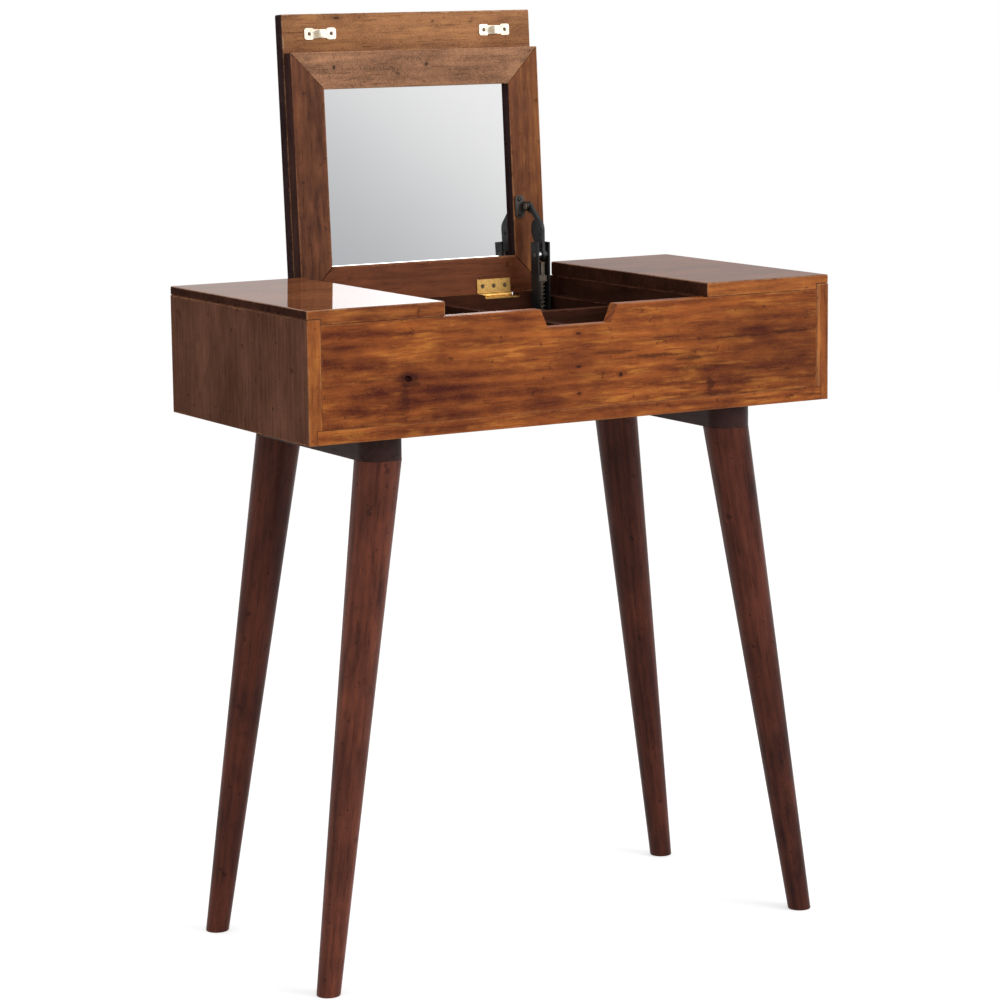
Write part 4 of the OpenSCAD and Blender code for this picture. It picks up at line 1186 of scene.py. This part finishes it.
@dataclass
class Lid:
    """The lid with its mirror frame and glass, built shut and then opened. Sizes are in metres."""

    angle: float = math.radians(-93.5)
    gap: float = 0.002
    reveal: float = 0.0015
    seat_gap: float = 0.0003
    strip: float = 0.0465
    frame_inset: float = 0.0015
    frame_thick: float = 0.018
    rail_width: float = 0.045
    stile_width: float = 0.0435
    glass: float = 0.004
    backing: float = 0.0054
    glass_lap: float = 0.007
    mitre_gap: float = 0.0003
    bevel: float = 0.0005
    tail: float = 0.0006
    board_ease: float = 0.0018
    sight_ease: float = 0.001
    mitre_ease: float = 0.0005
    rebate_play: float = 0.0001
    near: float = 0.001
    mitre_face: float = 0.0006
    mitre_start: float = 0.002
    mitre_slack: float = 0.02

    def __post_init__(self) -> None:
        """Works out where the shut lid's faces lie."""
        wing_low, wing_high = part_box("left_wing_top")
        pin_low, pin_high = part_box("hinge_pins")
        self.axis = Vector((0, (pin_low.y + pin_high.y) / 2, (pin_low.z + pin_high.z) / 2))
        self.half = -wing_high.x - self.gap
        self.front, self.back, self.top = wing_low.y + self.reveal, wing_high.y, wing_high.z
        self.under = wing_low.z + self.seat_gap
        self.frame_half = self.half - self.frame_inset
        self.frame_front = self.front + self.strip
        self.frame_under = self.under - self.frame_thick
        self.opening = Matrix.Rotation(self.angle, 3, "X")

    def opened(self, low: Vector, high: Vector, run: Run, seed: float) -> Lay:
        """The lay, in the open lid, of a piece that fills a box in the shut one."""
        return Lay.of_box(low, high, run, seed).turned(self.opening, self.axis)

    def settle_open(self, piece: bpy.types.Object, lay: Lay, finish: WoodFinish, node: str,
                    marks: Sequence[Mark] = ()) -> None:
        """Opens a piece that was built shut, and dresses it.

        Args:
            piece: the piece.
            lay: where it lies once it is open.
            finish: its wood.
            node: the node that it stands for.
            marks: the knots on it, and any painted shade.
        """
        Bench.turn(piece, self.angle, self.axis)
        settle(piece, finish.dress(lay, marks), node)

    def panel(self) -> None:
        """The lid board."""
        low = Vector((-self.half, self.front, self.under))
        high = Vector((self.half, self.back, self.top))
        piece = Bench.block("lid_board", low, high)
        Bench.ease(piece, self.board_ease)
        front, face = (low.y - high.y) / 2, (low.z - high.z) / 2
        marks = [Mark((-0.099, front + 0.0058, face), (0.005, 0.0016, 0.01), 0.8, 1.5),
                 Mark((0.035, front + 0.012, face), (0.002, 0.0016, 0.01), 0.6, 1.0)]
        lay = self.opened(low, high, Run.ACROSS, 61)
        self.settle_open(piece, lay, STRIP_WOOD, "lid_panel", marks)
        # The board's left end gets a darker copy of the wood, painted shade, while its right end keeps the
        # strip's wood.
        edge_on(piece, PAINTED_SHADE_GREY_WOOD.dress(lay, name="lid_board_end"), Vector((-1, 0, 0)), reach=0.5)
        edge_on(piece, LID_TOP_WOOD.dress(lay, name="lid_board_top"), self.opening @ Vector((0, 0, 1)))
        edge_on(piece, RIGHT_WOOD.dress(lay, name="lid_board_front"), self.opening @ Vector((0, -1, 0)))

    def member_profile(self, outer: float, inward: int, width: float) -> Outline:
        """A frame member's section, rebated for the glass and its backing.

        Args:
            outer: where its outer edge lies.
            inward: 1 or -1 towards the glass.
            width: its width.

        Returns:
            The section's corners.
        """
        sight = outer + inward * width
        rebate = outer + inward * (width - self.glass_lap - self.rebate_play)
        low, high = self.frame_under, self.under
        shelf = high - self.backing - self.glass
        return [(outer, low), (sight, low), (sight, shelf), (rebate, shelf), (rebate, high), (outer, high)]

    def rail(self, name: str, node: str, fore: bool, seed: float, finish: WoodFinish,
             marks: Sequence[Mark] = ()) -> None:
        """A front or back rail, mitred at both ends.

        Args:
            name: the piece's name.
            node: its node.
            fore: whether it is the front rail.
            seed: its own number.
            finish: its wood.
            marks: the knots on it, and any painted shade.
        """
        outer, inward = (self.frame_front, 1) if fore else (self.back + self.tail, -1)
        profile = self.member_profile(outer, inward, self.rail_width + (0 if fore else self.tail))
        piece = Bench.prism(name, profile, Run.ACROSS, -self.frame_half, self.frame_half)
        Bench.ease(piece, self.sight_ease, pick=lambda middle: self.on_face(middle)
                   and abs(middle.x) < self.near and middle.y < self.back - self.near)
        for s in (-1, 1):
            corner = Vector((s * (self.frame_half - self.mitre_gap), outer, self.under))
            away = Vector((s * self.rail_width, inward * self.stile_width, 0)).normalized()
            Bench.saw(piece, corner, away)
        Bench.ease(piece, self.mitre_ease, 1, self.on_mitre)
        edges = sorted((outer, outer + inward * self.rail_width))
        low = Vector((-self.frame_half, edges[0], self.frame_under))
        high = Vector((self.frame_half, edges[1], self.under))
        self.settle_open(piece, self.opened(low, high, Run.ACROSS, seed), finish, node, marks)

    def stile(self, side: Side, seed: float) -> None:
        """A side stile, mitred at both ends.

        Args:
            side: which side.
            seed: its own number.
        """
        s = side.value
        outer = s * self.frame_half
        profile = self.member_profile(outer, -s, self.stile_width)
        piece = Bench.prism(f"{side.word}_stile_board", profile, Run.DEEP, self.frame_front, self.back)
        Bench.ease(piece, self.sight_ease, pick=lambda middle: self.on_face(middle)
                   and self.frame_front + self.rail_width < middle.y < self.back - self.rail_width)
        for end, way in ((self.frame_front + self.mitre_gap, -1), (self.back - self.mitre_gap, 1)):
            away = Vector((-s * self.rail_width, way * self.stile_width, 0)).normalized()
            Bench.saw(piece, Vector((outer, end, self.under)), away)
        Bench.ease(piece, self.mitre_ease, 1, self.on_mitre)
        edges = sorted((outer, outer - s * self.stile_width))
        low = Vector((edges[0], self.frame_front, self.frame_under))
        high = Vector((edges[1], self.back, self.under))
        finish = LEFT_WOOD if side is Side.LEFT else RIGHT_WOOD
        lay = self.opened(low, high, Run.DEEP, seed)
        self.settle_open(piece, lay, finish, f"frame_{side.word}_stile")
        # Faces that look left, the left stile's outer side and the right stile's sight face, get darker
        # copies of the wood: painted shade.
        edge = PAINTED_SHADE_BROWN_WOOD if side is Side.LEFT else PAINTED_SHADE_GREY_WOOD
        edge_on(piece, edge.dress(lay, name="stile_edge"), Vector((-1, 0, 0)), reach=0.9)

    def on_face(self, middle: Vector) -> bool:
        """Whether an arris lies on the frame's visible face, by its middle."""
        return middle.z < self.frame_under + self.near

    def on_mitre(self, middle: Vector) -> bool:
        """Whether an arris lies on a mitre's visible face.

        Args:
            middle: the middle of the arris.

        Returns:
            True on a mitre.
        """
        side = self.frame_half - abs(middle.x)
        ends = (middle.y - self.frame_front, self.back - middle.y)
        inside = middle.z <= self.frame_under + self.mitre_face and side > self.mitre_start
        off = min(abs(side / self.stile_width - end / self.rail_width) for end in ends)
        return inside and off < self.mitre_slack

    def mirror(self) -> None:
        """The silvered glass, with a narrow bevel at the sight line. Its colour runs from grey to bright
        across it, a painted reflection, and its bevel carries an even painted highlight.
        """
        half = self.frame_half - self.stile_width + self.glass_lap
        margin = self.rail_width - self.glass_lap
        low = Vector((-half, self.frame_front + margin, self.under - self.backing - self.glass))
        high = Vector((half, self.back - margin, self.under - self.backing))
        piece = Bench.block("mirror_plate", low, high)
        for inset, depth in ((self.glass_lap, 0.0), (self.bevel, -self.bevel / 5)):
            mesh = Bench.edit(piece, "FACE")
            level = [face for face in mesh.faces if face.normal.z < -0.9]
            min(level, key=lambda face: max(abs(corner.co.x) for corner in face.verts)).select_set(True)
            bmesh.update_edit_mesh(piece.data)
            bpy.ops.mesh.inset(thickness=inset, depth=depth)
        Bench.turn(piece, self.angle, self.axis)
        lay = self.opened(low, high, Run.ACROSS, 71)
        silver = self.silver(lay, "mirror_silver", (0.42, 0.43, 0.445), (0.84, 0.84, 0.84))
        settle(piece, silver, "mirror_glass", smooth=False)
        # The bevel gets an even tint, paler than the grey corner: a painted highlight along the lower and
        # left edges.
        bright = self.silver(lay, "mirror_bevel", (0.66, 0.66, 0.66), (0.74, 0.74, 0.74))
        piece.data.materials.append(bright)
        facing = self.opening @ Vector((0, 0, -1))
        for face in piece.data.polygons:
            face.material_index = 1 if 0.5 < facing.dot(face.normal) < 0.99999 else 0
        repaint("mirror_backing", INNER_WOOD.dress(self.opened(low, high, Run.ACROSS, 72)))

    @staticmethod
    def silver(lay: Lay, name: str, low: Triple, high: Triple) -> bpy.types.Material:
        """Silvering whose colour grows greyer towards one lower corner: a painted reflection of the
        studio's gradient, not a change in the silver.

        Args:
            lay: where the glass lies.
            name: the material's name.
            low: the colour in the grey corner.
            high: the colour in the bright one.

        Returns:
            The material.
        """
        coat = Coat(name, lay)
        g = coat.graph
        # The grey-to-bright run of the base colour across the glass is painted reflection; the noise only
        # wobbles its edge.
        along = g.vector("DOT_PRODUCT", coat.own, (0.62, -0.78, 0.0))
        reflection_wobble = g.lean(g.noise(coat.own, scale=7.0, detail=3.0), 0.02)
        g.fill(coat.shader, {
            "Base Color": g.blend(g.span(g.math("ADD", along, reflection_wobble), -0.21, 0.19), low, high),
            "Roughness": g.span(g.noise(coat.own, scale=60.0, detail=3.0), 0.4, 0.8, 0.03, 0.045),
            "Metallic": 1.0,
        })
        return coat.material

    def build(self) -> None:
        """Builds and dresses the lid."""
        self.panel()
        mid = self.frame_front + self.rail_width / 2
        face = (self.frame_under - self.under) / 2
        start = self.front - self.reveal
        pin_holes_and_painted_shade = [Mark((-0.1144, start + 0.0669 - mid, face), (0.0022, 0.0034, 0.01), 0.9, 1.0),
                 Mark((0.0135, start + 0.0661 - mid, face), (0.0022, 0.0028, 0.01), 0.8, 1.0),
                 # The third mark, faint and wide near the rail's left end, is painted shade.
                 Mark((-0.150, start + 0.0560 - mid, face), (0.0075, 0.0030, 0.01), 0.35, 1.8)]
        self.rail("front_rail_board", "frame_front_rail", True, 62, RAIL_WOOD, pin_holes_and_painted_shade)
        self.rail("back_rail_board", "frame_back_rail", False, 63, SILL_WOOD)
        self.stile(Side.LEFT, 64)
        self.stile(Side.RIGHT, 65)
        self.mirror()


@dataclass
class Hardware:
    """The hinges, the catches and the lid stay."""

    soft: float = 0.0003
    crisp: float = 0.0002

    def dress(self, nodes: Sequence[str], finish: MetalFinish, width: float, seed: float) -> None:
        """Rounds the corners of some solids and dresses them.

        Args:
            nodes: their nodes.
            finish: their metal.
            width: the width of the rounding.
            seed: their own number.
        """
        for index, node in enumerate(nodes):
            piece = Bench.softened(f"{node}_metal", node, width)
            settle(piece, finish.dress(f"{node}_finish", seed + index), node)

    def build(self) -> None:
        """Builds and dresses all the metal."""
        self.dress(["left_hinge_case_leaf", "right_hinge_case_leaf", "left_hinge_lid_leaf",
                    "right_hinge_lid_leaf"], BRASS, self.crisp, 81)
        self.dress(["case_hinge_screws", "lid_hinge_screws", "strike_screws"], SCREW_BRASS, self.crisp, 85)
        self.dress(["left_catch_strike", "right_catch_strike"], PALE_BRASS, self.crisp, 91)
        self.dress(["left_catch_housing", "right_catch_housing"], BRASS, self.soft, 95)
        self.dress(["stay_channel", "stay_link", "stay_base"], BLACK_STEEL, self.soft, 101)
        self.dress(["stay_lid_bracket", "stay_lid_screws"], BRONZED_STEEL, self.crisp, 105)
        self.dress(["stay_plunger"], OILED_STEEL, self.crisp, 111)
        for node in ("hinge_pins", "housing_screws"):
            repaint(node, BRASS.dress(f"{node}_brass", 7))
        for node in ("left_ball_a", "left_ball_b", "right_ball_a", "right_ball_b", "catch_springs",
                     "stay_base_pin", "stay_knee_bushes"):
            repaint(node, ZINC.dress(f"{node}_zinc", 8))
        for node in ("stay_knee_pin", "stay_spring", "stay_lid_pin"):
            repaint(node, OILED_STEEL.dress(f"{node}_oiled", 10))
        repaint("stay_base_screws", BLACK_STEEL.dress("stay_base_screws_black", 9))


@dataclass
class Studio:
    """The floor, the lamps, the world and the camera."""

    lens: float = 120.27
    floor_glow: float = 0.51
    sky: float = 0.62
    eye: Triple = (-2.0041, -3.4431, 1.1608)
    right: Triple = (0.861863, -0.507012, -0.01154)
    up: Triple = (0.090861, 0.131986, 0.987078)
    backward: Triple = (-0.498937, -0.851774, 0.159822)

    def camera(self) -> None:
        """Stands the camera at its place."""
        data = bpy.data.cameras.new("camera")
        data.lens = self.lens
        data.clip_end = 100
        camera = bpy.data.objects.new("camera", data)
        bpy.context.scene.collection.objects.link(camera)
        turn = Matrix((self.right, self.up, self.backward)).transposed()
        camera.matrix_world = Matrix.Translation(self.eye) @ turn.to_4x4()
        bpy.context.scene.camera = camera

    @staticmethod
    def lamp(name: str, at: Vector, aim: Vector, size: tuple[float, float], radiance: float) -> None:
        """Hangs a soft rectangular lamp.

        Args:
            name: its name.
            at: where it hangs.
            aim: what it shines on.
            size: its width and height.
            radiance: how bright its face is.
        """
        data = bpy.data.lights.new(name, "AREA")
        data.shape = "RECTANGLE"
        data.size, data.size_y = size
        data.energy = radiance * math.pi * size[0] * size[1]
        lamp = bpy.data.objects.new(name, data)
        bpy.context.scene.collection.objects.link(lamp)
        lamp.location = at
        lamp.rotation_euler = (aim - at).to_track_quat("-Z", "Y").to_euler()
        lamp.visible_camera = False

    @staticmethod
    def seen(g: Graph) -> Socket:
        """A mask of the rays from the camera, off gloss and through glass."""
        path = g.add("ShaderNodeLightPath").outputs
        either = g.math("MAXIMUM", path["Is Camera Ray"], path["Is Glossy Ray"])
        return g.math("MAXIMUM", either, path["Is Transmission Ray"])

    def world(self) -> None:
        """White to look at, and a softer even light on the table."""
        world = bpy.data.worlds.new("studio")
        bpy.context.scene.world = world
        world.use_nodes = True
        world.node_tree.nodes.clear()
        g = Graph(world.node_tree)
        strength = g.span(self.seen(g), 0.0, 1.0, self.sky, 1.0)
        light = g.add("ShaderNodeBackground", {"Color": (1, 1, 1), "Strength": strength})
        g.add("ShaderNodeOutputWorld", {"Surface": light.outputs[0]})

    def floor(self) -> None:
        """A pale floor that keeps the table's shadow."""
        Bench.clear()
        bpy.ops.mesh.primitive_plane_add(size=60)
        floor = Bench.added("studio_floor")
        material = bpy.data.materials.new("pale_floor")
        material.use_nodes = True
        material.node_tree.nodes.clear()
        g = Graph(material.node_tree)
        where = g.add("ShaderNodeTexCoord").outputs["Object"]
        pale = g.blend(g.noise(where, scale=3.0), (0.78, 0.78, 0.78), (0.80, 0.80, 0.80))
        matt = g.add("ShaderNodeBsdfDiffuse", {"Color": pale})
        glow = g.add("ShaderNodeEmission", {"Strength": g.times(self.seen(g), self.floor_glow)})
        both = g.add("ShaderNodeAddShader", {0: matt.outputs[0], 1: glow.outputs[0]})
        g.add("ShaderNodeOutputMaterial", {"Surface": both.outputs[0]})
        floor.data.materials.append(material)

    def build(self) -> None:
        """Sets the studio up."""
        self.camera()
        self.world()
        self.floor()
        self.lamp("key", Vector((1.42, -2.05, 1.80)), Vector((0, 0, 0.8)), size=(1.6, 1.1), radiance=5.5)
        self.lamp("fill", Vector((-2.8, -1.6, 1.9)), Vector((0, 0, 0.6)), size=(1.6, 1.6), radiance=0.9)
        self.lamp("top", Vector((-0.2, 0.5, 3.2)), Vector((0, 0, 0.7)), size=(1.8, 1.8), radiance=0.8)
        bpy.context.scene.view_settings.view_transform = "Standard"


def main() -> None:
    """Builds the table, piece by piece, and its studio."""
    logging.basicConfig(level=logging.INFO, format="%(name)s: %(message)s")
    for part in (Case(), Legs(), Lid(), Hardware(), Studio()):
        log.info("building the %s", type(part).__name__.lower())
        part.build()
    Bench.clear()


if __name__ == "__main__":
    main()
